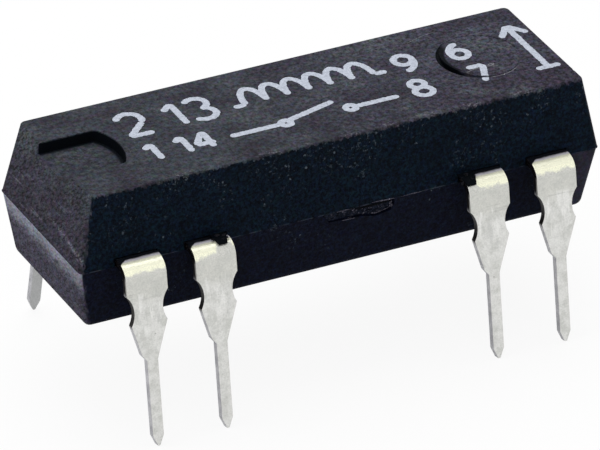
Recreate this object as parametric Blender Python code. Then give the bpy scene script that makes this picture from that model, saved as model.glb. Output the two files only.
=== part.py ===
"""Reed relay in a moulded dual in-line package, with its reed switch, coil and lead frames inside.

X runs along the body, +Y points to the far row of leads and +Z up. The origin lies midway between the
lead tips, on the plane they stand on. Pieces are placed from a datum in the middle of the lead strip,
which lies on the mould's parting plane.
"""
import math

import bmesh
import bpy
from mathutils import Matrix, Vector

MM = 0.001

# Moulded body, measured at the parting plane
BODY_LENGTH = 19.3 * MM
BODY_WIDTH = 6.1 * MM
TOP_HEIGHT = 2.62 * MM
BOTTOM_DEPTH = 2.34 * MM
# How far each half of the mould draws in from the parting plane to its flat face
TOP_END_DRAFT = 0.52 * MM
TOP_SIDE_DRAFT = 0.33 * MM
BOTTOM_END_DRAFT = 0.38 * MM
BOTTOM_SIDE_DRAFT = 0.32 * MM
MOULD_MISMATCH = 0.015 * MM
FLASH_PROUD = 0.012 * MM
FLASH_THICKNESS = 0.02 * MM
CORNER_RADIUS = 0.2 * MM
TOP_EDGE_RADIUS = 0.06 * MM
BOTTOM_EDGE_RADIUS = 0.25 * MM

# Index notch at the end that holds lead 1
NOTCH_WIDTH = 2.3 * MM
NOTCH_REACH = 2.87 * MM
NOTCH_DEPTH = 0.4 * MM
NOTCH_BOW_RADIUS = 2.1 * MM
NOTCH_CORNER_RADIUS = 0.18 * MM
NOTCH_DRAFT = 0.03 * MM

# Ejector pin mark on the top, a ring groove that is widest and deepest on one side
EJECTOR_X = 6.65 * MM
EJECTOR_Y = 0.1 * MM
EJECTOR_RADIUS = 1.44 * MM
EJECTOR_GROOVE = 0.06 * MM
EJECTOR_BULGE = 0.19 * MM
EJECTOR_DEPTH = 0.015 * MM
EJECTOR_DIP = 0.19 * MM
EJECTOR_DEEP_SIDE = math.radians(196)

# Scar of the broken gate on the near side, as x and z from the middle of the parting plane
GATE_SHALLOW = 0.04 * MM
GATE_DEEP = 0.13 * MM
GATE_OUTLINE = [
    (-0.78 * MM, -0.03 * MM),
    (-0.50 * MM, -0.38 * MM),
    (0.73 * MM, -0.44 * MM),
    (1.25 * MM, -0.57 * MM),
    (1.80 * MM, -0.48 * MM),
    (1.93 * MM, -0.18 * MM),
    (1.90 * MM, -0.03 * MM),
]

# Lead frames, stamped from flat strip
LEAD_PITCH = 2.54 * MM
STRIP_THICKNESS = 0.25 * MM
LEAD_STANDOFF = 0.21 * MM
BEND_RADIUS = 0.29 * MM
LEAD_SPLAY = math.radians(10.65)
SHOULDER_WIDTH = 1.49 * MM
WAIST_WIDTH = 1.05 * MM
BARB_WIDTH = 1.30 * MM
HEEL_LEFT = 0.36 * MM
HEEL_RIGHT = 0.27 * MM
LEG_WIDTH = 0.40 * MM
TIP_WIDTH = 0.08 * MM
# Distances down the leg, from the middle of the strip as it leaves the body
SHOULDER_END = 0.88 * MM
BARB_DROP = 1.94 * MM
HEEL_DROP = 3.03 * MM
NECK_DROP = 3.24 * MM
POINT_DROP = 5.92 * MM
LEG_LENGTH = 6.29 * MM
# Strip inside the body
ANCHOR_DEPTH = 0.45 * MM
CONTACT_BAR_WIDTH = 1.0 * MM
COIL_BAR_WIDTH = 0.9 * MM
SHOULDER_SLOPE = 0.25 * MM
JOGGLE_RUN = 0.6 * MM

# Clear wire between the glass and the bar that it is welded to
WIRE_RUN = 0.92 * MM

# Reed switch
GLASS_RADIUS = 1.0 * MM
GLASS_WALL = 0.25 * MM
GLASS_LENGTH = 12.4 * MM
SEAL_LENGTH = 0.8 * MM
REED_WIRE_DIAMETER = 0.45 * MM
BLADE_WIDTH = 0.9 * MM
BLADE_THICKNESS = 0.15 * MM
BLADE_TAPER = 0.7 * MM
BLADE_OVERLAP = 0.8 * MM
CONTACT_GAP = 0.1 * MM

# Coil
BARREL_WALL = 0.2 * MM
COIL_LENGTH = 7.8 * MM
FLANGE_THICKNESS = 0.4 * MM
FLANGE_RIM = 0.1 * MM
FLANGE_CORNER_RADIUS = 0.3 * MM
WINDING_BUILD = 0.47 * MM
WINDING_RIB_PITCH = 0.3 * MM
WINDING_RIB_HEIGHT = 0.03 * MM
COIL_END_GAP = 0.33 * MM
SADDLE_THICKNESS = 0.4 * MM
SADDLE_WIDTH = 1.7 * MM
SADDLE_LIP = 0.2 * MM
WIRE_SLOT_WIDTH = 0.3 * MM
WIRE_SLOT_OFFSET = 1.4 * MM
TAIL_DIAMETER = 0.12 * MM
TAIL_RISE = 0.2 * MM
SOLDER_DIAMETER = 0.8 * MM
SOLDER_HEIGHT = 0.3 * MM

# Flakes of flash left on the bends of two near leads: body end, x range on the lead, reach round the bend
FLAKE_THICKNESS = 0.06 * MM
FLAKES = [
    (-1, 0.12 * MM, 0.62 * MM, math.radians(33)),
    (1, -0.86 * MM, -0.32 * MM, math.radians(42)),
]
# Chip in the top edge of the far end from the notch
CHIP_RADIUS = 0.11 * MM
CHIP_Y = -2.0 * MM

# Clearances
MOULD_CLEARANCE = 0.04 * MM
SEAT_CLEARANCE = 0.03 * MM
GLASS_CLEARANCE = 0.05 * MM
SEAL_CLEARANCE = 0.02 * MM
CUTTER_OVERRUN = 0.5 * MM

ROUND_STEPS = 32
WIRE_STEPS = 16
WIRE_SUBSTEPS = 3
CORNER_STEPS = 4
ARC_STEPS = 8
WELD_DISTANCE = 1e-7
ENDS = (("left", -1), ("right", 1))

# Places worked out from the sizes above, with heights from the middle of the strip
PARTING_Z = -STRIP_THICKNESS / 2
REED_AXIS_Z = STRIP_THICKNESS / 2 + SEAT_CLEARANCE + REED_WIRE_DIAMETER / 2
SEAL_X = GLASS_LENGTH / 2 - SEAL_LENGTH
CONTACT_X = 3 * LEAD_PITCH
COIL_LEAD_X = 2 * LEAD_PITCH
COIL_BAR_Z = REED_AXIS_Z - GLASS_RADIUS - GLASS_CLEARANCE - STRIP_THICKNESS / 2
BORE_RADIUS = GLASS_RADIUS + GLASS_CLEARANCE
BARREL_RADIUS = BORE_RADIUS + BARREL_WALL
WINDING_INNER = BARREL_RADIUS + SEAT_CLEARANCE
WINDING_RADIUS = WINDING_INNER + WINDING_BUILD
FLANGE_SIZE = 2 * (WINDING_RADIUS + FLANGE_RIM)
FLANGE_X = COIL_LENGTH / 2 + FLANGE_THICKNESS
CONTACT_BAR_X = GLASS_LENGTH / 2 + WIRE_RUN + CONTACT_BAR_WIDTH / 2
COIL_BAR_X = FLANGE_X + COIL_END_GAP + COIL_BAR_WIDTH / 2
BEND_START = BODY_WIDTH / 2 + LEAD_STANDOFF
JOGGLE_INNER = GLASS_RADIUS + GLASS_CLEARANCE + STRIP_THICKNESS / 2
PAD_Y = (JOGGLE_INNER + JOGGLE_RUN + BODY_WIDTH / 2 - ANCHOR_DEPTH) / 2
PAD_Z = STRIP_THICKNESS / 2 + SEAT_CLEARANCE
WELD_REACH = 0.4 * CONTACT_BAR_WIDTH
TAIL_Z = REED_AXIS_Z + math.sqrt((WINDING_RADIUS + TAIL_RISE) ** 2 - WIRE_SLOT_OFFSET ** 2)


def clear_scene():
    for item in list(bpy.data.objects):
        bpy.data.objects.remove(item, do_unlink=True)


def new_collection(name):
    collection = bpy.data.collections.new(name)
    bpy.context.scene.collection.children.link(collection)
    return collection


def new_material(name, color, roughness, metallic=0.0):
    material = bpy.data.materials.new(name)
    material.use_nodes = True
    shader = material.node_tree.nodes["Principled BSDF"]
    shader.inputs["Base Color"].default_value = (*color, 1.0)
    shader.inputs["Roughness"].default_value = roughness
    shader.inputs["Metallic"].default_value = metallic
    material.diffuse_color = (*color, 1.0)
    return material


def arc(centre_x, centre_y, radius, start, end, steps):
    """Points of an arc, both ends included."""
    angles = [start + (end - start) * step / steps for step in range(steps + 1)]
    return [(centre_x + radius * math.cos(a), centre_y + radius * math.sin(a)) for a in angles]


def circle(radius, steps=ROUND_STEPS):
    return arc(0, 0, radius, 0, 2 * math.pi * (steps - 1) / steps, steps - 1)


def rounded_rectangle(width, height, radius, steps=CORNER_STEPS):
    """Points of a rounded rectangle about the origin; with the radius at half its sides it is a circle."""
    points = []
    for quarter in range(4):
        side_x = 1 if quarter in (0, 3) else -1
        side_y = 1 if quarter in (0, 1) else -1
        start = quarter * math.pi / 2
        centre_x = side_x * (width / 2 - radius)
        centre_y = side_y * (height / 2 - radius)
        points += arc(centre_x, centre_y, radius, start, start + math.pi / 2, steps)
    return points


def ring_across_z(points, z):
    return [Vector((x, y, z)) for x, y in points]


def ring_across_x(points, x, z=0.0):
    return [Vector((x, y, height + z)) for y, height in points]


def ring_across_y(points, y):
    return [Vector((x, y, height)) for x, height in points]


def loft(name, rings, closed=False):
    """Mesh through rings of one point count. A closed loft runs back into its first ring, as a tube does."""
    bm = bmesh.new()
    rows = [[bm.verts.new(point) for point in ring] for ring in rings]
    pairs = list(zip(rows, rows[1:]))
    if closed:
        pairs.append((rows[-1], rows[0]))
    for row, following in pairs:
        for i in range(len(row)):
            j = (i + 1) % len(row)
            bm.faces.new((row[i], row[j], following[j], following[i]))
    if not closed:
        bm.faces.new(rows[0])
        bm.faces.new(rows[-1])
    bmesh.ops.remove_doubles(bm, verts=bm.verts, dist=WELD_DISTANCE)
    bmesh.ops.recalc_face_normals(bm, faces=bm.faces)
    mesh = bpy.data.meshes.new(name)
    bm.to_mesh(mesh)
    bm.free()
    return mesh


def box(name, low, high):
    """Axis-aligned box between two corners."""
    bm = bmesh.new()
    bmesh.ops.create_cube(bm, size=1.0)
    for vert in bm.verts:
        vert.co = Vector([low[k] if vert.co[k] < 0 else high[k] for k in range(3)])
    mesh = bpy.data.meshes.new(name)
    bm.to_mesh(mesh)
    bm.free()
    return mesh


def place(name, mesh, collection, datum, location=(0, 0, 0), material=None, smooth=True):
    item = bpy.data.objects.new(name, mesh)
    collection.objects.link(item)
    item.parent = datum
    item.location = location
    if material:
        mesh.materials.append(material)
    if smooth:
        mesh.shade_smooth()
        mesh.set_sharp_from_angle(angle=math.radians(30))
    return item


def place_cutter(name, mesh, collection, datum, location=(0, 0, 0)):
    item = place(name, mesh, collection, datum, location, smooth=False)
    item.hide_render = True
    item.display_type = "WIRE"
    return item


def combine(target, other, operation, overlapping=False):
    """Boolean with another object, which may be made of overlapping closed shapes."""
    boolean = target.modifiers.new(f"{operation.lower()}_{other.name}", "BOOLEAN")
    boolean.operation = operation
    boolean.use_self = overlapping
    boolean.object = other


def gathered(name, pieces):
    """One mesh from several, each with its place."""
    bm = bmesh.new()
    for mesh, location in pieces:
        moved = mesh.copy()
        moved.transform(Matrix.Translation(location))
        bm.from_mesh(moved)
    mesh = bpy.data.meshes.new(name)
    bm.to_mesh(mesh)
    bm.free()
    return mesh


def body_ring(length, width, z, radius=CORNER_RADIUS):
    return ring_across_z(rounded_rectangle(length, width, radius), z)


def body_half(side_draft, end_draft, height, edge_radius, inset, sign):
    """Rings of one mould half, from its flat face to the parting plane."""
    rings = []
    for step in range(CORNER_STEPS + 1):
        turn = step / CORNER_STEPS * math.pi / 2
        drawn_in = edge_radius * (1 - math.sin(turn))
        rise = edge_radius * (1 - math.cos(turn))
        share = 1 - rise / height
        length = BODY_LENGTH - 2 * (inset + end_draft * share + drawn_in)
        width = BODY_WIDTH - 2 * (inset + side_draft * share + drawn_in)
        rings.append(body_ring(length, width, sign * (height - rise), CORNER_RADIUS - drawn_in / 2))
    rings.append(body_ring(BODY_LENGTH - 2 * inset, BODY_WIDTH - 2 * inset, sign * FLASH_THICKNESS / 2))
    return rings


def body_shell():
    """Outer form of the moulding: two drafted halves and the thin fin of flash between them."""
    lower = body_half(BOTTOM_SIDE_DRAFT, BOTTOM_END_DRAFT, BOTTOM_DEPTH, BOTTOM_EDGE_RADIUS, MOULD_MISMATCH, -1)
    upper = body_half(TOP_SIDE_DRAFT, TOP_END_DRAFT, TOP_HEIGHT, TOP_EDGE_RADIUS, 0, 1)
    fin_length = BODY_LENGTH + 2 * FLASH_PROUD
    fin_width = BODY_WIDTH + 2 * FLASH_PROUD
    fin = [body_ring(fin_length, fin_width, side * FLASH_THICKNESS / 4) for side in (-1, 1)]
    return loft("moulded_body", lower + fin + upper[::-1])


def notch_outline(grow):
    """Outline of the index notch: open at the body's end, with a bowed inner end and filleted corners."""
    half = NOTCH_WIDTH / 2 + grow
    bow = NOTCH_BOW_RADIUS + grow
    corner = NOTCH_CORNER_RADIUS + grow
    outer_x = -BODY_LENGTH / 2 - CUTTER_OVERRUN
    bow_x = NOTCH_REACH - BODY_LENGTH / 2 - NOTCH_BOW_RADIUS
    corner_y = half - corner
    corner_x = bow_x + math.sqrt((bow - corner) ** 2 - corner_y ** 2)
    turn = math.atan2(corner_y, corner_x - bow_x)
    points = [(outer_x, -half)]
    points += arc(corner_x, -corner_y, corner, -math.pi / 2, -turn, CORNER_STEPS)
    points += arc(bow_x, 0, bow, -turn, turn, ARC_STEPS)
    points += arc(corner_x, corner_y, corner, turn, math.pi / 2, CORNER_STEPS)
    points.append((outer_x, half))
    return points


def notch_cutter():
    floor = ring_across_z(notch_outline(0), TOP_HEIGHT - NOTCH_DEPTH)
    brim = ring_across_z(notch_outline(NOTCH_DRAFT), TOP_HEIGHT)
    above = ring_across_z(notch_outline(NOTCH_DRAFT), TOP_HEIGHT + CUTTER_OVERRUN)
    return loft("index_notch", [floor, brim, above])


def ejector_cutter():
    """Fine ring that swells into a wide and deep crescent on one side."""
    rings = []
    for step in range(ROUND_STEPS):
        angle = 2 * math.pi * step / ROUND_STEPS
        swell = max(0.0, math.cos(angle - EJECTOR_DEEP_SIDE)) ** 3
        inner = EJECTOR_RADIUS - EJECTOR_GROOVE - EJECTOR_BULGE * swell
        floor = TOP_HEIGHT - EJECTOR_DEPTH - EJECTOR_DIP * swell
        section = []
        for radius, z in (
            (inner, floor),
            (EJECTOR_RADIUS, floor),
            (EJECTOR_RADIUS, TOP_HEIGHT + CUTTER_OVERRUN),
            (inner, TOP_HEIGHT + CUTTER_OVERRUN),
        ):
            section.append(Vector((radius * math.cos(angle), radius * math.sin(angle), z)))
        rings.append(section)
    return loft("ejector_mark", rings, closed=True)


def gate_cutter():
    """Pocket in the drafted near side of the lower half, deeper towards +X."""
    draft = BOTTOM_SIDE_DRAFT / BOTTOM_DEPTH
    surface = BODY_WIDTH / 2 - MOULD_MISMATCH
    start_x = min(x for x, _ in GATE_OUTLINE)
    end_x = max(x for x, _ in GATE_OUTLINE)
    floor = []
    for x, z in GATE_OUTLINE:
        depth = GATE_SHALLOW + (GATE_DEEP - GATE_SHALLOW) * (x - start_x) / (end_x - start_x)
        floor.append(Vector((x, -(surface + z * draft - depth), z)))
    outside = ring_across_y(GATE_OUTLINE, -BODY_WIDTH / 2 - CUTTER_OVERRUN)
    return loft("gate_scar", [floor, outside])


def bend_end():
    """Strip centre (y, z) at the foot of the bend, and the drop along the leg that this is."""
    turn = math.pi / 2 - LEAD_SPLAY
    radius = BEND_RADIUS + STRIP_THICKNESS / 2
    y = BEND_START + radius * math.sin(turn)
    z = -radius * (1 - math.cos(turn))
    drop = -(z + STRIP_THICKNESS / 2 * math.cos(turn)) / math.cos(LEAD_SPLAY)
    return y, z, drop


def leg_point(drop):
    """Strip centre (y, z) at a drop down the leg."""
    y, z, start = bend_end()
    run = drop - start
    return y + run * math.sin(LEAD_SPLAY), z - run * math.cos(LEAD_SPLAY)


def strip_height():
    """Height of the strip's middle when the leads stand on the inner corners of their tips."""
    return -leg_point(LEG_LENGTH)[1] + STRIP_THICKNESS / 2 * math.sin(LEAD_SPLAY)


def waist_rows():
    """Drop and half width along the hollow side of the waist, an arc from shoulder to barb."""
    mid_drop = (SHOULDER_END + BARB_DROP) / 2
    mid_half = (SHOULDER_WIDTH + BARB_WIDTH) / 4
    chord = math.hypot(BARB_DROP - SHOULDER_END, (SHOULDER_WIDTH - BARB_WIDTH) / 2)
    tilt = math.atan2((SHOULDER_WIDTH - BARB_WIDTH) / 2, BARB_DROP - SHOULDER_END)
    sagitta = (mid_half - WAIST_WIDTH / 2) * math.cos(tilt)
    radius = (chord ** 2 / 4 + sagitta ** 2) / (2 * sagitta)
    reach = math.asin(chord / 2 / radius)
    centre_drop = mid_drop + (radius - sagitta) * math.sin(tilt)
    centre_half = mid_half + (radius - sagitta) * math.cos(tilt)
    rows = []
    for step in range(ARC_STEPS + 1):
        angle = tilt + reach * (1 - 2 * step / ARC_STEPS)
        rows.append((centre_drop - radius * math.sin(angle), centre_half - radius * math.cos(angle)))
    return rows


def lead_rows():
    """Stations from the body's middle to a lead's tip, as (y, z, tilt, half width on -X, half width on +X)."""
    turn_end = math.pi / 2 - LEAD_SPLAY
    half = SHOULDER_WIDTH / 2
    rows = [(BEND_START, 0.0, 0.0, half, half)]
    radius = BEND_RADIUS + STRIP_THICKNESS / 2
    for step in range(1, ARC_STEPS + 1):
        turn = turn_end * step / ARC_STEPS
        rows.append((BEND_START + radius * math.sin(turn), -radius * (1 - math.cos(turn)), turn, half, half))
    stations = [(drop, width, width) for drop, width in waist_rows()]
    stations.append((HEEL_DROP, HEEL_LEFT, HEEL_RIGHT))
    stations.append((NECK_DROP, LEG_WIDTH / 2, LEG_WIDTH / 2))
    stations.append((POINT_DROP, LEG_WIDTH / 2, LEG_WIDTH / 2))
    stations.append((LEG_LENGTH, TIP_WIDTH / 2, TIP_WIDTH / 2))
    for drop, left, right in stations:
        y, z = leg_point(drop)
        rows.append((y, z, turn_end, left, right))
    return rows


def inner_rows(bar_width, bar_z, bar_shift):
    """Stations of the strip inside the body, from the middle outwards. The bar may stand beside its leads."""
    anchor_y = BODY_WIDTH / 2 - ANCHOR_DEPTH
    bar = (bar_width / 2 - bar_shift, bar_width / 2 + bar_shift)
    half = SHOULDER_WIDTH / 2
    rows = [(0.0, bar_z, 0.0, *bar)]
    if bar_z:
        slope = math.atan2(bar_z, JOGGLE_RUN)
        rows.append((JOGGLE_INNER, bar_z, slope / 2, *bar))
        rows.append((JOGGLE_INNER + JOGGLE_RUN, 0.0, slope / 2, *bar))
    rows.append((anchor_y - SHOULDER_SLOPE, 0.0, 0.0, *bar))
    rows.append((anchor_y, 0.0, 0.0, half, half))
    return rows


def strip_section(row, side, grow):
    """Rectangle across the strip at a station. Side -1 mirrors it to the near row."""
    y, z, tilt, left, right = row
    joggle = 1 / math.cos(tilt) if tilt < 0 else 1
    reach = STRIP_THICKNESS / 2 * joggle + grow
    out = Vector((0, side * math.sin(tilt), math.cos(tilt)))
    centre = Vector((0, side * y, z))
    low_x = Vector((-left - grow, 0, 0))
    high_x = Vector((right + grow, 0, 0))
    return [centre + low_x + out * reach, centre + high_x + out * reach,
            centre + high_x - out * reach, centre + low_x - out * reach]


def frame_mesh(name, rows, grow=0.0):
    """One stamped frame: two leads and the bar that joins them through the body."""
    near = [strip_section(row, -1, grow) for row in rows]
    far = [strip_section(row, 1, grow) for row in rows]
    return loft(name, near[:0:-1] + far)


def contact_frame_rows(side):
    return inner_rows(CONTACT_BAR_WIDTH, 0.0, side * (CONTACT_BAR_X - CONTACT_X)) + lead_rows()


def coil_frame_rows(side):
    return inner_rows(COIL_BAR_WIDTH, COIL_BAR_Z, side * (COIL_BAR_X - COIL_LEAD_X)) + lead_rows()


def glass_profile(grow=0.0):
    """Outside of the capsule from its middle to one end, as (x, radius), with a rounded nose at the seal."""
    hole = REED_WIRE_DIAMETER / 2 + SEAL_CLEARANCE
    nose = (GLASS_RADIUS - hole) / 2
    profile = [(0.0, GLASS_RADIUS + grow)]
    for step in range(CORNER_STEPS + 1):
        turn = step / CORNER_STEPS * math.pi / 2
        x = GLASS_LENGTH / 2 + grow - nose * (1 - math.sin(turn))
        profile.append((x, GLASS_RADIUS + grow - nose * (1 - math.cos(turn))))
    profile.append((GLASS_LENGTH / 2 + grow, hole))
    return profile


def mirrored(profile):
    """Profile of a piece that is the same to both sides of its middle."""
    return [(-x, radius) for x, radius in profile[:0:-1]] + profile


def turned(name, profile, closed=False, steps=ROUND_STEPS):
    """Piece turned about X from a profile of (x, radius)."""
    return loft(name, [ring_across_x(circle(radius, steps), x) for x, radius in profile], closed)


def glass_mesh():
    """Thin tube with thick sealed ends, each with a hole for a reed's wire."""
    hole = REED_WIRE_DIAMETER / 2 + SEAL_CLEARANCE
    inner = GLASS_RADIUS - GLASS_WALL
    outside = mirrored(glass_profile())
    inside = mirrored([(0.0, inner), (SEAL_X - GLASS_WALL, inner), (SEAL_X, hole)])
    return turned("glass_capsule", outside + inside[::-1], closed=True)


def reed_mesh(name, side):
    """Round wire from the weld to the seal, pressed flat beyond it. The origin is at the seal's inner end."""
    wire = rounded_rectangle(REED_WIRE_DIAMETER, REED_WIRE_DIAMETER, REED_WIRE_DIAMETER / 2)
    blade = rounded_rectangle(BLADE_WIDTH, BLADE_THICKNESS, BLADE_THICKNESS / 3)
    blade_z = -side * (CONTACT_GAP + BLADE_THICKNESS) / 2
    return loft(name, [
        ring_across_x(wire, side * (CONTACT_BAR_X + WELD_REACH - SEAL_X)),
        ring_across_x(wire, 0.0),
        ring_across_x(blade, -side * BLADE_TAPER, blade_z),
        ring_across_x(blade, -side * (SEAL_X + BLADE_OVERLAP / 2), blade_z),
    ])


def winding_mesh(name):
    """Turns of the coil as one ribbed sleeve."""
    half = COIL_LENGTH / 2 - SEAT_CLEARANCE
    count = round(2 * half / WINDING_RIB_PITCH)
    profile = [(-half, WINDING_INNER)]
    for rib in range(count):
        start = -half + 2 * half * rib / count
        profile.append((start, WINDING_RADIUS - WINDING_RIB_HEIGHT))
        profile.append((start + half / count, WINDING_RADIUS))
    profile.append((half, WINDING_RADIUS - WINDING_RIB_HEIGHT))
    profile.append((half, WINDING_INNER))
    return turned(name, profile, closed=True)


def tail_route(side, overrun):
    """Coil wire from the end of the winding, through the flange's slot and down to the solder pad.

    The route is for the +X end, and half a turn about Z gives the other one.
    """
    start_x = COIL_LENGTH / 2 - 2 * TAIL_DIAMETER
    bury = (WINDING_RADIUS - TAIL_DIAMETER) / (WINDING_RADIUS + TAIL_RISE)
    pad_z = PAD_Z + TAIL_DIAMETER
    half_way = ((FLANGE_X + COIL_BAR_X) / 2, (WIRE_SLOT_OFFSET + PAD_Y) / 2, (TAIL_Z + pad_z) / 2)
    route = [
        (start_x, bury * WIRE_SLOT_OFFSET, REED_AXIS_Z + bury * (TAIL_Z - REED_AXIS_Z)),
        (start_x, WIRE_SLOT_OFFSET, TAIL_Z),
        (FLANGE_X + TAIL_DIAMETER, WIRE_SLOT_OFFSET, TAIL_Z),
        half_way,
        (COIL_BAR_X, PAD_Y - TAIL_DIAMETER, pad_z),
        (COIL_BAR_X, PAD_Y + TAIL_DIAMETER + overrun, pad_z),
    ]
    return smoothed([Vector((side * x, side * y, z)) for x, y, z in route], WIRE_SUBSTEPS)


def smoothed(points, steps):
    """Curve through the points, with each stretch cut into equal steps."""
    ends = [2 * points[0] - points[1]] + points + [2 * points[-1] - points[-2]]
    route = []
    for before, start, end, after in zip(ends, ends[1:], ends[2:], ends[3:]):
        lead_in = (end - before) / 2
        lead_out = (after - start) / 2
        for step in range(steps):
            t = step / steps
            route.append(start * (2 * t ** 3 - 3 * t ** 2 + 1) + lead_in * (t ** 3 - 2 * t ** 2 + t)
                         + end * (3 * t ** 2 - 2 * t ** 3) + lead_out * (t ** 3 - t ** 2))
    return route + [points[-1]]


def wire_mesh(name, route, diameter):
    """Round wire along a route, made as a curve and then turned into a welded mesh."""
    curve = bpy.data.curves.new(name, "CURVE")
    curve.dimensions = "3D"
    curve.bevel_depth = diameter / 2
    curve.bevel_resolution = 1
    curve.use_fill_caps = True
    spline = curve.splines.new("POLY")
    spline.points.add(len(route) - 1)
    for point, place_at in zip(spline.points, route):
        point.co = (*place_at, 1.0)
    item = bpy.data.objects.new(name, curve)
    bpy.context.scene.collection.objects.link(item)
    bpy.context.view_layer.update()
    mesh = bpy.data.meshes.new_from_object(item.evaluated_get(bpy.context.evaluated_depsgraph_get()))
    bpy.data.objects.remove(item)
    bm = bmesh.new()
    bm.from_mesh(mesh)
    bmesh.ops.remove_doubles(bm, verts=bm.verts, dist=WELD_DISTANCE)
    bmesh.ops.recalc_face_normals(bm, faces=bm.faces)
    bm.to_mesh(mesh)
    bm.free()
    return mesh


def solder_mesh(name, grow=0.0):
    """Domed bead with a flat underside."""
    radius = SOLDER_DIAMETER / 2 + grow
    height = SOLDER_HEIGHT + grow
    rings = [ring_across_z(circle(radius, WIRE_STEPS), -grow)]
    for step in range(CORNER_STEPS + 1):
        turn = step / (CORNER_STEPS + 1) * math.pi / 2
        rings.append(ring_across_z(circle(radius * math.cos(turn), WIRE_STEPS), height * math.sin(turn)))
    return loft(name, rings if grow else rings[1:])


def flange_and_saddle(side, grow=0.0):
    """One end of the bobbin: a square flange, a saddle under the coil frame's bar and the lip that keeps it."""
    size = FLANGE_SIZE + 2 * grow
    plate = rounded_rectangle(size, size, FLANGE_CORNER_RADIUS + grow)
    flange = [ring_across_x(plate, side * x) for x in (COIL_LENGTH / 2 - grow, FLANGE_X + grow)]
    top = COIL_BAR_Z - STRIP_THICKNESS / 2 - SEAT_CLEARANCE - REED_AXIS_Z
    bar_side = COIL_BAR_X + COIL_BAR_WIDTH / 2 + SEAT_CLEARANCE
    meshes = [loft("flange", flange)]
    for name, start_x, end_x, rise in (
        ("saddle", FLANGE_X - FLANGE_THICKNESS / 2, bar_side + SADDLE_LIP, 0.0),
        ("saddle_lip", bar_side - grow, bar_side + SADDLE_LIP, STRIP_THICKNESS / 2),
    ):
        near_x, far_x = sorted((side * start_x, side * (end_x + grow)))
        low = (near_x, -SADDLE_WIDTH / 2 - grow, top - SADDLE_THICKNESS - grow)
        high = (far_x, SADDLE_WIDTH / 2 + grow, top + rise + grow)
        meshes.append(box(name, low, high))
    return meshes


def flake_mesh(low_x, high_x, reach):
    """Thin flake of flash that lies on a near lead from the body's side round part of its bend."""
    gap = STRIP_THICKNESS / 2 + MOULD_CLEARANCE
    radius = BEND_RADIUS + STRIP_THICKNESS / 2
    rings = []
    for y, z, turn in [(BODY_WIDTH / 2 - TOP_SIDE_DRAFT / 2, 0.0, 0.0)] + [
        (BEND_START + radius * math.sin(reach * step / CORNER_STEPS),
         -radius * (1 - math.cos(reach * step / CORNER_STEPS)), reach * step / CORNER_STEPS)
        for step in range(CORNER_STEPS + 1)
    ]:
        thin = FLAKE_THICKNESS * (1 - turn / reach / 2)
        trim = (high_x - low_x) * turn / reach / 5
        out = Vector((0, -math.sin(turn), math.cos(turn)))
        centre = Vector((0, -y, z))
        rings.append([
            centre + out * gap + Vector((low_x + trim, 0, 0)),
            centre + out * gap + Vector((high_x - trim, 0, 0)),
            centre + out * (gap + thin) + Vector((high_x - trim, 0, 0)),
            centre + out * (gap + thin) + Vector((low_x + trim, 0, 0)),
        ])
    return loft("flash_flake", rings)


def chip_mesh():
    bm = bmesh.new()
    bmesh.ops.create_icosphere(bm, subdivisions=1, radius=CHIP_RADIUS)
    mesh = bpy.data.meshes.new("edge_chip")
    bm.to_mesh(mesh)
    bm.free()
    return mesh


def build_frames(parts, datum, material):
    for end, side in ENDS:
        mesh = frame_mesh(f"contact_frame_{end}", contact_frame_rows(side))
        place(mesh.name, mesh, parts, datum, (side * CONTACT_X, 0, 0), material)
        mesh = frame_mesh(f"coil_frame_{end}", coil_frame_rows(side))
        place(mesh.name, mesh, parts, datum, (side * COIL_LEAD_X, 0, 0), material)


def build_reed_switch(parts, datum, glass, alloy):
    axis = (0, 0, REED_AXIS_Z)
    place("glass_capsule", glass_mesh(), parts, datum, axis, glass)
    for end, side in ENDS:
        name = f"reed_{end}"
        place(name, reed_mesh(name, side), parts, datum, (side * SEAL_X, 0, REED_AXIS_Z), alloy)


def build_bobbin(parts, cutters, datum, material):
    """Barrel between two square flanges, each with a saddle that sits against a coil frame's bar."""
    axis = (0, 0, REED_AXIS_Z)
    barrel = turned("coil_bobbin", [(-FLANGE_X, BARREL_RADIUS), (FLANGE_X, BARREL_RADIUS)])
    bobbin = place("coil_bobbin", barrel, parts, datum, axis, material, smooth=False)
    for end, side in ENDS:
        for mesh in flange_and_saddle(side):
            combine(bobbin, place_cutter(f"{mesh.name}_{end}", mesh, cutters, datum, axis), "UNION")
    run = FLANGE_X + CUTTER_OVERRUN
    bore = place_cutter("bore", turned("bore", [(-run, BORE_RADIUS), (run, BORE_RADIUS)]), cutters, datum, axis)
    combine(bobbin, bore, "DIFFERENCE")
    for end, side in ENDS:
        near_x, far_x = sorted((side * (COIL_LENGTH / 2 - CUTTER_OVERRUN), side * run))
        middle_y = side * WIRE_SLOT_OFFSET
        slot = box(f"wire_slot_{end}",
                   (near_x, middle_y - WIRE_SLOT_WIDTH / 2, TAIL_Z - TAIL_DIAMETER),
                   (far_x, middle_y + WIRE_SLOT_WIDTH / 2, REED_AXIS_Z + FLANGE_SIZE / 2 + CUTTER_OVERRUN))
        combine(bobbin, place_cutter(slot.name, slot, cutters, datum), "DIFFERENCE")


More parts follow.
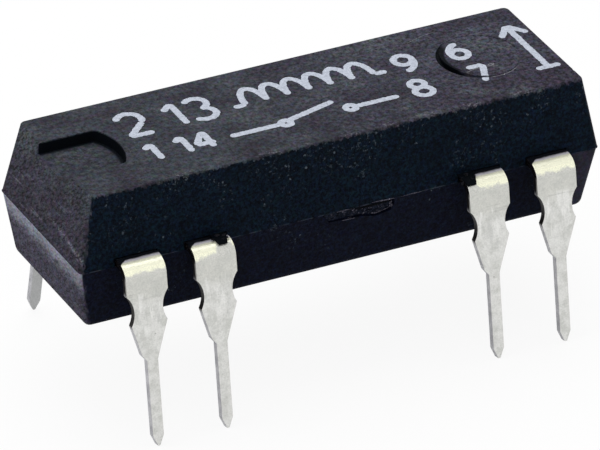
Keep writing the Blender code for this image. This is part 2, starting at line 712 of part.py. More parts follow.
def build_winding(parts, cutters, datum, copper, tin):
    """Winding with its two tails, each held by a bead of solder on a coil frame."""
    mesh = winding_mesh("coil_winding")
    winding = place("coil_winding", mesh, parts, datum, (0, 0, REED_AXIS_Z), copper)
    for end, side in ENDS:
        tail = wire_mesh(f"tail_{end}", tail_route(side, 0.0), TAIL_DIAMETER)
        combine(winding, place_cutter(tail.name, tail, cutters, datum), "UNION")
        pad = (side * COIL_BAR_X, side * PAD_Y, PAD_Z)
        bead = place(f"solder_{end}", solder_mesh(f"solder_{end}"), parts, datum, pad, tin)
        tunnel = wire_mesh(f"tail_tunnel_{end}", tail_route(side, SEAL_CLEARANCE),
                           TAIL_DIAMETER + 2 * SEAL_CLEARANCE)
        combine(bead, place_cutter(tunnel.name, tunnel, cutters, datum), "DIFFERENCE")


def core_room():
    """Room in the moulding for the pieces turned about the reed axis: coil, capsule and reed wires."""
    coil_radius = WINDING_RADIUS + MOULD_CLEARANCE
    wire_radius = REED_WIRE_DIAMETER / 2 + MOULD_CLEARANCE
    nose = glass_profile(MOULD_CLEARANCE)[1:-1]
    profile = [(0.0, coil_radius), (COIL_LENGTH / 2, coil_radius), (COIL_LENGTH / 2, nose[0][1])] + nose
    profile.append((nose[-1][0], wire_radius))
    profile.append((CONTACT_BAR_X + WELD_REACH + MOULD_CLEARANCE, wire_radius))
    return turned("core_room", mirrored(profile))


def cavity_mesh():
    """All that the moulding encloses, grown by its clearance."""
    grow = MOULD_CLEARANCE
    axis = (0, 0, REED_AXIS_Z)
    rooms = [(core_room(), axis)]
    for _, side in ENDS:
        rooms.append((frame_mesh("contact_frame_room", contact_frame_rows(side), grow), (side * CONTACT_X, 0, 0)))
        rooms.append((frame_mesh("coil_frame_room", coil_frame_rows(side), grow), (side * COIL_LEAD_X, 0, 0)))
        rooms += [(mesh, axis) for mesh in flange_and_saddle(side, grow)]
        rooms.append((wire_mesh("tail_room", tail_route(side, grow), TAIL_DIAMETER + 2 * grow), (0, 0, 0)))
        rooms.append((solder_mesh("solder_room", grow), (side * COIL_BAR_X, side * PAD_Y, PAD_Z)))
    return gathered("cavity", rooms)


def build_body(parts, cutters, datum, material):
    parting = (0, 0, PARTING_Z)
    body = place("moulded_body", body_shell(), parts, datum, parting, material, smooth=False)
    for end, low_x, high_x, reach in FLAKES:
        flake = place_cutter("flash_flake", flake_mesh(low_x, high_x, reach), cutters, datum,
                             (end * COIL_LEAD_X, 0, 0))
        combine(body, flake, "UNION")
    marks = [
        (notch_cutter(), parting),
        (ejector_cutter(), (EJECTOR_X, EJECTOR_Y, PARTING_Z)),
        (gate_cutter(), parting),
        (chip_mesh(), (BODY_LENGTH / 2 - TOP_END_DRAFT, CHIP_Y, PARTING_Z + TOP_HEIGHT)),
    ]
    for mesh, location in marks:
        combine(body, place_cutter(mesh.name, mesh, cutters, datum, location), "DIFFERENCE")
    combine(body, place_cutter("cavity", cavity_mesh(), cutters, datum), "DIFFERENCE", overlapping=True)


def main():
    clear_scene()
    parts = new_collection("reed_relay")
    cutters = new_collection("cutters")
    datum = bpy.data.objects.new("strip_middle", None)
    parts.objects.link(datum)
    datum.location = (0, 0, strip_height())
    tin = new_material("tinned_strip", (0.62, 0.62, 0.60), 0.45, 0.9)
    build_frames(parts, datum, tin)
    glass = new_material("seal_glass", (0.45, 0.62, 0.48), 0.05)
    alloy = new_material("reed_alloy", (0.55, 0.53, 0.50), 0.3, 1.0)
    build_reed_switch(parts, datum, glass, alloy)
    build_bobbin(parts, cutters, datum, new_material("bobbin_plastic", (0.75, 0.72, 0.62), 0.5))
    copper = new_material("enamelled_wire", (0.45, 0.16, 0.06), 0.3, 0.8)
    solder = new_material("solder", (0.70, 0.70, 0.70), 0.25, 1.0)
    build_winding(parts, cutters, datum, copper, solder)
    build_body(parts, cutters, datum, new_material("moulding_compound", (0.018, 0.018, 0.022), 0.7))


main()
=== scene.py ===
"""Looks of the reed relay: finishes, print, flash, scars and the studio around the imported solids."""
import math

import bmesh
import bpy
from mathutils import Matrix, Vector, noise
from mathutils.bvhtree import BVHTree


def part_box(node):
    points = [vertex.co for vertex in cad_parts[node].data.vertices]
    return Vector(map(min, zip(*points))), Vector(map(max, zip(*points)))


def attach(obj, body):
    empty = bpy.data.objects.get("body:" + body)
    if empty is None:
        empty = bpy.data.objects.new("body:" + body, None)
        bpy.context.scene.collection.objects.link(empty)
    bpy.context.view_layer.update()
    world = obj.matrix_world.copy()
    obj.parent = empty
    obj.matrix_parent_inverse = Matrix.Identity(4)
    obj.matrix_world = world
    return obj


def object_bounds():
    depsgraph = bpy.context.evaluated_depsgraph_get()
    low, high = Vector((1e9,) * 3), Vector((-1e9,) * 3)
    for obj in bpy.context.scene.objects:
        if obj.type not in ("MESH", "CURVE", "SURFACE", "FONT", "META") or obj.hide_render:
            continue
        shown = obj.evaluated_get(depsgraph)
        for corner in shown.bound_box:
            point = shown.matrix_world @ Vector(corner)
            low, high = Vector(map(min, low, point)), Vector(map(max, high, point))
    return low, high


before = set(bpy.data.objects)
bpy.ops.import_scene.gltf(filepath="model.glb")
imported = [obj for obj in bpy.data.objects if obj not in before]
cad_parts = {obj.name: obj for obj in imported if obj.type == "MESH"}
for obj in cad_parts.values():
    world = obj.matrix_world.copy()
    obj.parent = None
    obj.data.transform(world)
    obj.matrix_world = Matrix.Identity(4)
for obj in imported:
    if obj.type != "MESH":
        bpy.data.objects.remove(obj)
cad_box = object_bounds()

MM = 0.001
BODY = "relay"
WHITE = (1.0, 1.0, 1.0)
DOWN = Vector((0, 0, -1))
INWARD = Vector((0, 1, 0))

# Sizes and places of the solids in mm, with heights from the parting plane
TOP_HEIGHT = 2.62
STRIP_HEIGHT = 0.125
BODY_HALF_WIDTH = 3.05
LEAD_PITCH = 2.54
LEAD_COLUMNS = (-3, -2, 2, 3)
LEAD_HALF_WIDTH = 0.745
LEAD_SPLAY = math.radians(10.65)
NOTCH_FLOOR = 2.22
NOTCH_BOW_X = -8.88
EJECTOR_X, EJECTOR_Y, EJECTOR_RADIUS = 6.65, 0.1, 1.44
# Circle outside which, within the ejector mark, shade is painted along the crescent's inner rim
CRESCENT_SHADE_X, CRESCENT_SHADE_Y, CRESCENT_SHADE_RADIUS = 6.87, 0.14, 1.28
TORN_START, TORN_END, TORN_TOP = -0.7, 1.9, -0.05

# Centre of the leads' bend outwards from the body's middle, and the radius of its middle line, in mm
BEND_Y, BEND_RADIUS = 3.26, 0.415

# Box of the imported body, and its levels in metres
BODY_LOW, BODY_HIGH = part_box("moulded_body")
TOP_Z = BODY_HIGH.z
PARTING_Z = TOP_Z - TOP_HEIGHT * MM
STRIP_Z = PARTING_Z + STRIP_HEIGHT * MM

# The photograph's camera, about the middle of the parting plane
CAMERA_AZIMUTH = math.radians(-27.826)
CAMERA_ELEVATION = math.radians(30.821)
CAMERA_ROLL = math.radians(1.287)
CAMERA_DISTANCE = 265.93 * MM
CAMERA_RIGHT = -0.047 * MM
CAMERA_UP = -1.894 * MM
CAMERA_LENS = 479.187
CAMERA_SENSOR = 36

# Level of the surroundings, where 1 shows a white surface as white
WORLD_LEVEL = 0.45

# The floor. Its glow is the share of its white that is its own, and its reach is half its side in metres
FLOOR_GLOW = 0.91
FLOOR_COLOR = (0.95, 0.95, 0.95, 1.0)
FLOOR_REACH = 0.6

# Each lamp's name, azimuth and elevation in degrees, distance and size in metres, and level on that scale
SOFTBOXES = [
    ("softbox_above", 170, 68, 0.16, 0.14, 0.62),
    ("softbox_left", -100, 35, 0.16, 0.12, 0.25),
    ("softbox_front", -10, 25, 0.22, 0.16, 0.12),
]

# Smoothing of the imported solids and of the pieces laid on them
WELD_DISTANCE = 1e-7
PACKED_SMOOTH_ANGLE = math.radians(32)
PIECE_SMOOTH_ANGLE = math.radians(40)
FRAME_BEVEL = 0.018 * MM
FRAME_BEVEL_ANGLE = math.radians(40)

# Print and other strokes laid on the body. Layers keep crossing strokes of the print apart
INK_WIDTH = 0.235 * MM
INK_HEIGHT = 0.006 * MM
INK_LAYER = 0.0012 * MM
INK_LAYERS = 4
SCRATCH_HEIGHT = 0.005 * MM
RIM_HEIGHT = 0.008 * MM
STROKE_STEP = 0.035 * MM
STROKE_SINK = 0.003 * MM
RAGGED_GRAIN = 0.07 * MM
RAGGED_SHIFT = 0.4 * MM
CAST_DISTANCE = 20 * MM
SAME_POINT = 0.001 * MM

# Torn floor of the gate scar
TORN_GRAIN = 0.08 * MM
TORN_SINK = 0.01 * MM

# Wisps of flash along the parting line
WISP_STEP = 0.06 * MM
WISP_END_GAP = 0.3 * MM
WISP_LEAD_GAP = 0.06 * MM
WISP_SINK = 0.02 * MM
WISP_PROUD = 0.002 * MM
WISP_REACH = 0.03 * MM
WISP_LIFT = 0.006 * MM
WISP_ROOT_HALF = 0.006 * MM
WISP_TIP_HALF = 0.003 * MM
WISP_GRAIN = 0.4 * MM
WISP_WAVE = 0.8 * MM


def srgb(red, green, blue):
    """Linear colour of an 8-bit display colour."""
    channels = [value / 255 for value in (red, green, blue)]
    return tuple(c / 12.92 if c <= 0.04045 else ((c + 0.055) / 1.055) ** 2.4 for c in channels)


class Graph:
    """Short calls for one material's nodes, with x, y and z in mm and z counted from a level."""

    def __init__(self, name, level=PARTING_Z):
        self.material = bpy.data.materials.new(name)
        self.material.use_nodes = True
        self.tree = self.material.node_tree
        self.shader = self.tree.nodes["Principled BSDF"]
        source = self.tree.nodes.new("ShaderNodeTexCoord")
        shifted = self.vector("SUBTRACT", source.outputs["Object"], (0, 0, level))
        self.place = self.vector("SCALE", shifted, scale=1 / MM)
        self.x, self.y, self.z = self.split(self.place)
        self.normal_x, self.normal_y, self.normal_z = self.split(source.outputs["Normal"])

    def put(self, value, socket):
        if isinstance(value, bpy.types.NodeSocket):
            self.tree.links.new(value, socket)
        elif isinstance(value, tuple) and len(value) == 3 and socket.type == "RGBA":
            socket.default_value = (*value, 1.0)
        else:
            socket.default_value = value

    def set(self, name, value):
        self.put(value, self.shader.inputs[name])

    def math(self, operation, first, second=0.0):
        node = self.tree.nodes.new("ShaderNodeMath")
        node.operation = operation
        self.put(first, node.inputs[0])
        self.put(second, node.inputs[1])
        return node.outputs[0]

    def plus(self, first, second):
        return self.math("ADD", first, second)

    def minus(self, first, second):
        return self.math("SUBTRACT", first, second)

    def times(self, first, second):
        return self.math("MULTIPLY", first, second)

    def absolute(self, value):
        return self.math("ABSOLUTE", value)

    def stirred(self, value, noise_value, reach):
        """The value, made to waver by a noise about 0.5."""
        return self.plus(value, self.times(self.minus(noise_value, 0.5), reach))

    def vector(self, operation, first, second=(0, 0, 0), scale=1.0):
        node = self.tree.nodes.new("ShaderNodeVectorMath")
        node.operation = operation
        self.put(first, node.inputs[0])
        if operation == "SCALE":
            self.put(scale, node.inputs["Scale"])
        else:
            self.put(second, node.inputs[1])
        return node.outputs["Value" if operation == "LENGTH" else "Vector"]

    def split(self, vector):
        node = self.tree.nodes.new("ShaderNodeSeparateXYZ")
        self.put(vector, node.inputs[0])
        return node.outputs[0], node.outputs[1], node.outputs[2]

    def ramp(self, value, low, high, start=0.0, end=1.0):
        """Smooth step from start to end as the value goes from low to high."""
        node = self.tree.nodes.new("ShaderNodeMapRange")
        node.interpolation_type = "SMOOTHSTEP"
        self.put(value, node.inputs["Value"])
        node.inputs["From Min"].default_value = low
        node.inputs["From Max"].default_value = high
        node.inputs["To Min"].default_value = start
        node.inputs["To Max"].default_value = end
        return node.outputs[0]

    def both(self, *masks):
        """Product of masks."""
        product = masks[0]
        for mask in masks[1:]:
            product = self.times(product, mask)
        return product

    def either(self, first, *masks):
        """Largest of masks."""
        largest = first
        for mask in masks:
            largest = self.math("MAXIMUM", largest, mask)
        return largest

    def inverse(self, mask):
        return self.minus(1.0, mask)

    def mix(self, factor, first, second, blend="MIX"):
        """Colour mix, whose colour sockets come seventh and eighth."""
        node = self.tree.nodes.new("ShaderNodeMix")
        node.data_type = "RGBA"
        node.blend_type = blend
        self.put(factor, node.inputs[0])
        self.put(first, node.inputs[6])
        self.put(second, node.inputs[7])
        return node.outputs[2]

    def stretched(self, scale_x, scale_y, scale_z, offset=(0.0, 0.0, 0.0)):
        node = self.tree.nodes.new("ShaderNodeMapping")
        self.put(self.place, node.inputs["Vector"])
        node.inputs["Scale"].default_value = (scale_x, scale_y, scale_z)
        node.inputs["Location"].default_value = offset
        return node.outputs[0]

    def joined(self, x, y, z):
        node = self.tree.nodes.new("ShaderNodeCombineXYZ")
        for value, socket in zip((x, y, z), node.inputs):
            self.put(value, socket)
        return node.outputs[0]

    def distance(self, x, y):
        """Distance from an upright axis through x, y."""
        return self.vector("LENGTH", self.joined(self.minus(self.x, x), self.minus(self.y, y), 0.0))

    def noise(self, scale, detail=2.0, roughness=0.5, where=None, color=False):
        """Noise about 0.5, with that many features a mm."""
        node = self.tree.nodes.new("ShaderNodeTexNoise")
        self.put(self.place if where is None else where, node.inputs["Vector"])
        node.inputs["Scale"].default_value = scale
        node.inputs["Detail"].default_value = detail
        node.inputs["Roughness"].default_value = roughness
        return node.outputs["Color" if color else "Fac"]

    def specks(self, scale, size, where=None):
        """Round specks, that many a mm each way, of a size as a share of their spacing."""
        node = self.tree.nodes.new("ShaderNodeTexVoronoi")
        self.put(self.place if where is None else where, node.inputs["Vector"])
        node.inputs["Scale"].default_value = scale
        return self.ramp(node.outputs["Distance"], size, size * 0.5)

    def bump(self, height, depth, strength=1.0, normal=None):
        node = self.tree.nodes.new("ShaderNodeBump")
        node.inputs["Strength"].default_value = strength
        node.inputs["Distance"].default_value = depth
        self.put(height, node.inputs["Height"])
        if normal is not None:
            self.put(normal, node.inputs["Normal"])
        return node.outputs[0]


def top_colors(g, blotch, along):
    """Painted lit grey of the top: greenish by the notch, and patchy. Along the near edge it turns dark and
    purplish with x.
    """
    far = g.mix(along, srgb(54, 57, 64), srgb(60, 60, 71))
    near = g.mix(along, srgb(54, 57, 64), srgb(51, 48, 60))
    top = g.mix(g.ramp(g.y, -2.2, 1.2), near, far)
    patches = g.noise(0.7, detail=4, roughness=0.6, where=g.stretched(0.8, 1.3, 1, (5, 2, 0)))
    top = g.mix(g.ramp(patches, 0.5, 0.62, 0.0, 0.7), top, srgb(46, 43, 53))
    return g.mix(g.ramp(patches, 0.48, 0.36, 0.0, 0.7), top, srgb(65, 68, 74))


def end_colors(g, top, blotch, is_end, facing_end, below, drop):
    """The top's grey turns purplish on the way down the ends, with a painted sheen as a pale band under the
    parting line.
    """
    down = g.plus(g.z, g.times(blotch, 1.2))
    pale = g.mix(g.both(is_end, g.ramp(down, 3.1, 1.7)), top, srgb(48, 46, 56))
    # Painted sheen: a pale band just under the parting line, fading downwards
    painted_sheen_band = g.mix(g.ramp(drop, 0.3, 1.45), srgb(125, 128, 141), srgb(55, 53, 66))
    pale = g.mix(below, pale, painted_sheen_band)
    # Faint wipes over the upper half
    wipes = g.ramp(g.noise(1, detail=2, where=g.stretched(1, 0.5, 7, (0, 3, 0))), 0.6, 0.72, 0.0, 0.35)
    wipes = g.both(wipes, facing_end, g.ramp(g.z, 0.0, 0.1), g.ramp(g.z, 1.9, 1.2))
    pale = g.mix(wipes, pale, srgb(96, 94, 106))
    # One longer rub on the notched end, stronger towards the near corner
    off_rub = g.absolute(g.minus(g.z, g.plus(g.times(g.y, 0.145), 0.85)))
    rub = g.both(g.ramp(off_rub, 0.17, 0.0), g.ramp(g.y, 0.6, -2.8, 0.1, 0.75))
    broken = g.ramp(g.noise(5, detail=3, roughness=0.7), 0.38, 0.6)
    return g.mix(g.both(rub, broken, facing_end, g.ramp(g.x, 0, -1)), pale, srgb(104, 104, 115))


def shaded_side_colors(g):
    """Mottled navy, painted dark as the long sides' shade, purplish at the far end's lower corner."""
    mottle = g.ramp(g.noise(9, detail=4, roughness=0.8), 0.36, 0.7)
    side = g.mix(mottle, srgb(0, 2, 9), srgb(14, 30, 45))
    side = g.mix(g.ramp(g.z, 0.03, -0.03), side, g.mix(mottle, srgb(0, 0, 9), srgb(14, 21, 39)))
    far_corner = g.mix(mottle, srgb(34, 33, 42), srgb(49, 48, 62))
    side = g.mix(g.both(g.ramp(g.x, 7.9, 9.0), g.ramp(g.z, 0.0, -0.05)), side, far_corner)
    # Thin pale line where the mould halves met, here and there
    seam = g.ramp(g.noise(1.6, detail=4, roughness=0.7), 0.42, 0.6)
    seam = g.both(seam, g.ramp(g.absolute(g.z), 0.035, 0.015), 0.5)
    return g.mix(seam, side, srgb(66, 72, 84))


def painted_lit_places(g, facing_end):
    """Mask of the top and the ends, painted grey as lit, whose grey is torn over the long sides' edges."""
    on_top_face = g.both(g.ramp(g.normal_z, 0.45, 0.75), g.ramp(g.z, 1.9, 2.1))
    tear = g.noise(6, detail=4, roughness=0.75, where=g.stretched(1, 1, 0.35))
    fray = g.ramp(g.stirred(g.z, tear, 0.5), TOP_HEIGHT - 0.09, TOP_HEIGHT - 0.03)
    from_end = g.minus(g.times(g.absolute(g.z), 0.18), g.x)
    end_fray = g.stirred(from_end, tear, g.ramp(g.z, -1.4, -0.2, 0.3, 0.8))
    end_fray = g.ramp(end_fray, 9.5, 9.6)
    # The ejector's groove is painted as lit as the top where it is shallow
    shallow = g.either(g.ramp(g.x, 5.75, 6.0), g.ramp(g.y, -0.5, -0.8))
    shallow = g.both(shallow, g.ramp(g.x, 5.0, 5.1), g.ramp(g.x, 8.4, 8.2), g.ramp(g.z, 2.3, 2.35))
    shallow = g.both(shallow, g.ramp(g.absolute(g.y), 2.0, 1.9))
    return g.either(facing_end, fray, end_fray, shallow, on_top_face)


def painted_shade_and_flakes(g):
    """Mask of painted shade on the notch's walls and in the ejector's crescent, a painted shadow on the
    notch's floor, and the flakes outside the long sides.
    """
    # Painted shade on the notch's walls
    by_notch = g.both(g.ramp(g.x, -6.4, -6.5), g.ramp(g.x, -9.16, -9.12), g.ramp(g.y, 1.4, 1.35))
    above_floor = g.ramp(g.z, NOTCH_FLOOR, NOTCH_FLOOR + 0.02)
    below_top = g.ramp(g.z, TOP_HEIGHT - 0.02, TOP_HEIGHT - 0.06)
    walls = g.both(by_notch, above_floor, below_top, g.ramp(g.normal_z, 0.6, 0.4), g.ramp(g.y, -1.1, -0.9))
    # Painted shadow on the notch's floor, along its far wall and its bowed end
    at_bow = g.both(g.ramp(g.distance(NOTCH_BOW_X, 0.0), 1.9, 2.03), g.ramp(g.y, -1.08, -0.95))
    on_floor = g.ramp(g.z, NOTCH_FLOOR - 0.12, NOTCH_FLOOR - 0.07)
    on_floor = g.both(on_floor, g.ramp(g.z, NOTCH_FLOOR + 0.08, NOTCH_FLOOR + 0.04))
    painted_shadow_fringe = g.both(g.either(g.ramp(g.y, 0.97, 1.1), at_bow), on_floor, by_notch, 0.93)
    # Painted shade in the ejector's step, and along the inner rim of its crescent
    step = g.both(g.ramp(g.x, 5.0, 5.1), g.ramp(g.x, 6.2, 5.8), g.ramp(g.y, -0.85, -0.4))
    step = g.both(step, g.ramp(g.y, 1.0, 0.8), g.ramp(g.z, TOP_HEIGHT - 0.02, TOP_HEIGHT - 0.04))
    inside = g.ramp(g.distance(EJECTOR_X, EJECTOR_Y), EJECTOR_RADIUS + 0.01, EJECTOR_RADIUS - 0.02)
    crescent_shade = g.ramp(g.distance(CRESCENT_SHADE_X, CRESCENT_SHADE_Y), CRESCENT_SHADE_RADIUS, CRESCENT_SHADE_RADIUS + 0.08)
    crescent_shade = g.both(crescent_shade, inside, g.ramp(g.x, 6.0, 5.75), g.ramp(g.y, -0.75, -0.4), g.ramp(g.z, 2.3, 2.35))
    outside = g.ramp(g.absolute(g.y), BODY_HALF_WIDTH + 0.03, BODY_HALF_WIDTH + 0.05)
    return g.either(walls, painted_shadow_fringe, step, crescent_shade, outside)


def dusted(g, color, is_painted_lit, black):
    """Filler specks on the top, pale grains along its near edge and dust in clusters on the long sides."""
    specks = g.both(g.specks(5.5, 0.15), g.ramp(g.noise(1.3, detail=2), 0.45, 0.7))
    color = g.mix(g.both(specks, is_painted_lit, 0.5), color, srgb(120, 118, 112))
    grains = g.ramp(g.noise(11, detail=2, roughness=0.7), 0.52, 0.64)
    at_edge = g.both(g.ramp(g.y, -2.42, -2.6), g.ramp(g.z, 2.4, 2.5), g.ramp(g.x, 8.4, 7.8))
    grains = g.both(grains, g.ramp(g.noise(1.1, detail=2), 0.5, 0.6), at_edge, is_painted_lit, 0.6)
    color = g.mix(grains, color, srgb(124, 124, 132))
    room = g.noise(0.9, detail=3, roughness=0.6, where=g.stretched(1, 1, 1, (3, 0, 1)))
    room = g.plus(room, g.ramp(g.z, -0.5, 2.4, -0.06, 0.1))
    plain = g.inverse(g.either(is_painted_lit, black))
    dust = g.both(g.ramp(g.noise(8.5, detail=2, roughness=0.65), 0.57, 0.73), g.ramp(room, 0.52, 0.7))
    color = g.mix(g.both(dust, plain, 0.6), color, srgb(80, 90, 100))
    stray = g.both(g.specks(2.2, 0.15, g.stretched(1, 1, 1, (0.4, 0.2, 0.7))), g.ramp(room, 0.48, 0.58))
    stray = g.both(stray, plain, g.ramp(g.noise(13, detail=1), 0.42, 0.6), 0.65)
    return g.mix(stray, color, srgb(96, 106, 116))


def moulding_compound():
    """Filled black epoxy, grainy on the top and the ends, which are painted grey as lit; the long sides are
    painted almost black as in shade.
    """
    g = Graph("moulding_compound_look")
    blotch = g.noise(0.9, detail=3, roughness=0.55)
    along = g.ramp(g.plus(g.x, g.times(blotch, 5)), -3, 11)
    is_end = g.ramp(g.absolute(g.x), 8.75, 8.95)
    facing_end = g.both(is_end, g.ramp(g.absolute(g.normal_x), 0.5, 0.75))
    below = g.both(facing_end, g.ramp(g.z, 0.0, -0.03))
    streak = g.noise(1, detail=4, roughness=0.65, where=g.stretched(1, 1.3, 5))
    drop = g.minus(g.times(streak, 0.7), g.z)

    # Painted light and shade: a lit grey on the top and the ends, a shaded near-black on the long sides,
    # and painted shade on the black places besides the flakes
    top = top_colors(g, blotch, along)
    pale = end_colors(g, top, blotch, is_end, facing_end, below, drop)
    black = painted_shade_and_flakes(g)
    is_painted_lit = g.both(painted_lit_places(g, facing_end), g.inverse(black))
    side = g.mix(black, shaded_side_colors(g), srgb(2, 5, 10))
    color = g.mix(is_painted_lit, side, pale)

    # Grain, which lies aslant on the ends as it does in the photograph, and is weaker in their painted
    # sheen band
    grain = g.noise(6.5, detail=4, roughness=0.8)
    slant = g.plus(g.times(g.y, 3.4), g.times(g.z, 5.7))
    end_grain = g.noise(1.75, detail=4, roughness=0.8, where=g.joined(g.times(g.y, 3.3), slant, g.x))
    speckle = g.mix(along, g.ramp(grain, 0.3, 0.7, 0.3, 1.75), g.ramp(grain, 0.3, 0.7, 0.02, 2.15))
    speckle = g.mix(facing_end, speckle, g.ramp(end_grain, 0.32, 0.68, 0.1, 2.0))
    speckle = g.mix(g.both(below, g.ramp(drop, 1.5, 0.5, 0.0, 0.6)), speckle, WHITE)
    speckle = g.mix(is_painted_lit, WHITE, speckle)
    shade = g.times(speckle, g.ramp(blotch, 0.3, 0.7, 0.86, 1.14))
    color = g.mix(1.0, color, shade, "MULTIPLY")
    # Tint that wavers between hues
    tint = g.mix(1.0, g.noise(6, detail=2, color=True), (2.0, 2.0, 2.0), "MULTIPLY")
    color = g.mix(0.5, color, g.mix(1.0, color, tint, "MULTIPLY"))

    g.set("Base Color", dusted(g, color, is_painted_lit, black))
    g.set("Roughness", g.ramp(grain, 0.3, 0.7, 0.62, 0.78))
    g.shader.inputs["Specular IOR Level"].default_value = 0.05
    coarse = g.bump(blotch, 0.03 * MM, 0.3)
    fine = g.noise(19, detail=2, roughness=0.6)
    g.set("Normal", g.bump(g.plus(grain, g.times(fine, 0.5)), 0.016 * MM, 0.8, coarse))
    return g.material


def strip_face(g, cloud, waist, length_streaks):
    """Clouded tin, with coined lines down the waist and faint marks across the shoulder."""
    face = g.mix(g.ramp(g.z, -0.8, -1.4), srgb(210, 210, 204), srgb(224, 224, 221))
    face = g.mix(g.ramp(cloud, 0.35, 0.7, 0.0, 0.8), face, srgb(196, 197, 192))
    face = g.mix(g.both(waist, g.ramp(length_streaks, 0.54, 0.62, 0.0, 0.8)), face, srgb(232, 232, 229))
    face = g.mix(g.both(waist, g.ramp(length_streaks, 0.42, 0.32, 0.0, 0.4)), face, srgb(184, 185, 182))
    cross_streaks = g.noise(1, detail=3, where=g.stretched(0.8, 0.8, 9))
    shoulder = g.both(g.ramp(g.z, -0.6, -0.8), g.ramp(g.z, -1.15, -0.95))
    face = g.mix(g.both(shoulder, g.ramp(cross_streaks, 0.55, 0.68, 0.0, 0.4)), face, srgb(166, 166, 162))
    nicks = g.both(g.specks(2.2, 0.08), g.ramp(g.noise(0.8), 0.52, 0.62), 0.5)
    return g.mix(nicks, face, srgb(120, 118, 112))


def strip_bend(g, face, cloud):
    """The bend, with a painted highlight down to a torn border where it faces up, held back as painted
    shade beside the two flakes.
    """
    wavy = g.stirred(g.x, cloud, 0.5)
    left_flake = g.both(g.ramp(wavy, -5.1, -4.9), g.ramp(wavy, -4.25, -4.45))
    right_flake = g.both(g.ramp(wavy, 4.2, 4.3), g.ramp(wavy, 4.8, 4.62))
    shaded_beside_flakes = g.both(g.either(left_flake, right_flake), g.ramp(g.y, -3.0, -3.1))
    # Painted highlight where the bend faces up, less beside the flakes, turning lilac near the body
    torn = g.minus(g.stirred(g.normal_z, cloud, 0.8), g.times(shaded_beside_flakes, 0.4))
    bend_highlight = g.both(g.ramp(torn, 0.38, 0.62), g.ramp(g.z, -0.5, -0.35))
    root = g.stirred(g.absolute(g.y), cloud, 0.12)
    face = g.mix(bend_highlight, face, srgb(250, 250, 225))
    return g.mix(g.both(bend_highlight, g.ramp(root, 3.38, 3.28), 0.8), face, srgb(216, 212, 232))


def strip_root(g, face, across, cloud):
    """Painted dark reflection of the body where the strip leaves it, and painted shade over the bend's left
    corner.
    """
    root = g.stirred(g.absolute(g.y), cloud, 0.12)
    # Painted dark reflection of the body on the strip's flat part, and painted shade on the corner
    painted_root_reflection = g.both(g.ramp(root, 3.28, 3.15), g.ramp(g.z, 0.0, 0.05))
    corner = g.ramp(g.plus(across, g.times(root, 1.3)), 3.72, 3.66)
    corner = g.both(corner, g.ramp(g.z, -0.12, -0.04))
    return g.mix(g.either(painted_root_reflection, corner), face, srgb(20, 22, 28))


def strip_edges(g, cloud):
    """Sheared edges: tin smeared over them, with painted shade at the shoulder and a painted dark
    reflection of the body in the waist's hollow.
    """
    edge = g.mix(g.ramp(cloud, 0.35, 0.7), srgb(184, 184, 188), srgb(150, 150, 156))
    # Painted shade at the shoulder, and a painted dark reflection of the body in the waist's hollow
    edge = g.mix(g.ramp(g.z, -0.95, -0.75), edge, srgb(22, 19, 20))
    hollow = g.both(g.ramp(g.z, -0.88, -0.98), g.ramp(g.z, -2.1, -1.9))
    edge = g.mix(hollow, edge, srgb(16, 12, 11))
    # Tin drawn round from the outer face on to the shoulder's edges
    outward = g.minus(g.absolute(g.y), BEND_Y)
    upward = g.plus(g.z, BEND_RADIUS)
    straight = g.plus(g.times(outward, math.cos(LEAD_SPLAY)), g.times(upward, math.sin(LEAD_SPLAY)))
    bent = g.vector("LENGTH", g.joined(outward, upward, 0.0))
    reach = g.stirred(g.mix(g.ramp(g.z, -0.38, -0.44), bent, straight), cloud, 0.08)
    drawn = g.ramp(reach, BEND_RADIUS + 0.03, BEND_RADIUS + 0.07)
    drawn = g.both(drawn, g.ramp(g.z, -0.98, -0.9), g.ramp(g.z, -0.2, -0.35), 0.85)
    return g.mix(drawn, edge, srgb(182, 182, 176))


def tinned_strip():
    """Matte tin: a painted highlight over the bend, streaked down the waist, with a painted dark reflection
    where it meets the body.
    """
    g = Graph("tinned_strip_look", STRIP_Z)
    across = g.math("WRAP", g.x, -LEAD_PITCH / 2)
    across.node.inputs[2].default_value = LEAD_PITCH / 2
    cloud = g.noise(3.0, detail=4, roughness=0.65)
    grain = g.noise(18, detail=3, roughness=0.7)
    length_streaks = g.noise(1, detail=2, where=g.stretched(5.5, 5.5, 0.2))
    waist = g.both(g.ramp(g.z, -0.75, -1.0), g.ramp(g.z, -2.6, -2.1), g.ramp(g.absolute(across), 0.5, 0.4))

    face = strip_face(g, cloud, waist, length_streaks)
    face = strip_bend(g, face, cloud)
    face = strip_root(g, face, across, cloud)
    # Painted shade on the inner faces of the far legs
    shaded_far_inner = g.both(g.ramp(g.y, 3.0, 3.1), g.ramp(g.normal_y, -0.4, -0.6))
    face = g.mix(shaded_far_inner, face, srgb(172, 173, 173))
    sheared = g.ramp(g.absolute(g.normal_x), 0.55, 0.8)
    color = g.mix(sheared, face, strip_edges(g, cloud))
    g.set("Base Color", g.mix(1.0, color, g.ramp(grain, 0.3, 0.7, 0.9, 1.07), "MULTIPLY"))
    flat = g.ramp(g.normal_z, 0.7, 0.95)
    metal = g.mix(flat, (0.75, 0.75, 0.75), (0.15, 0.15, 0.15))
    g.set("Metallic", g.mix(sheared, metal, (0.2, 0.2, 0.2)))
    dull = g.plus(0.3, g.times(cloud, 0.22))
    bright = g.plus(0.16, g.times(cloud, 0.16))
    g.set("Roughness", g.mix(g.ramp(g.z, -0.35, -0.2), dull, bright))
    ripple = g.bump(g.plus(cloud, g.both(waist, length_streaks)), 0.02 * MM, 0.3)
    g.set("Normal", g.bump(grain, 0.006 * MM, 0.4, ripple))
    return g.material


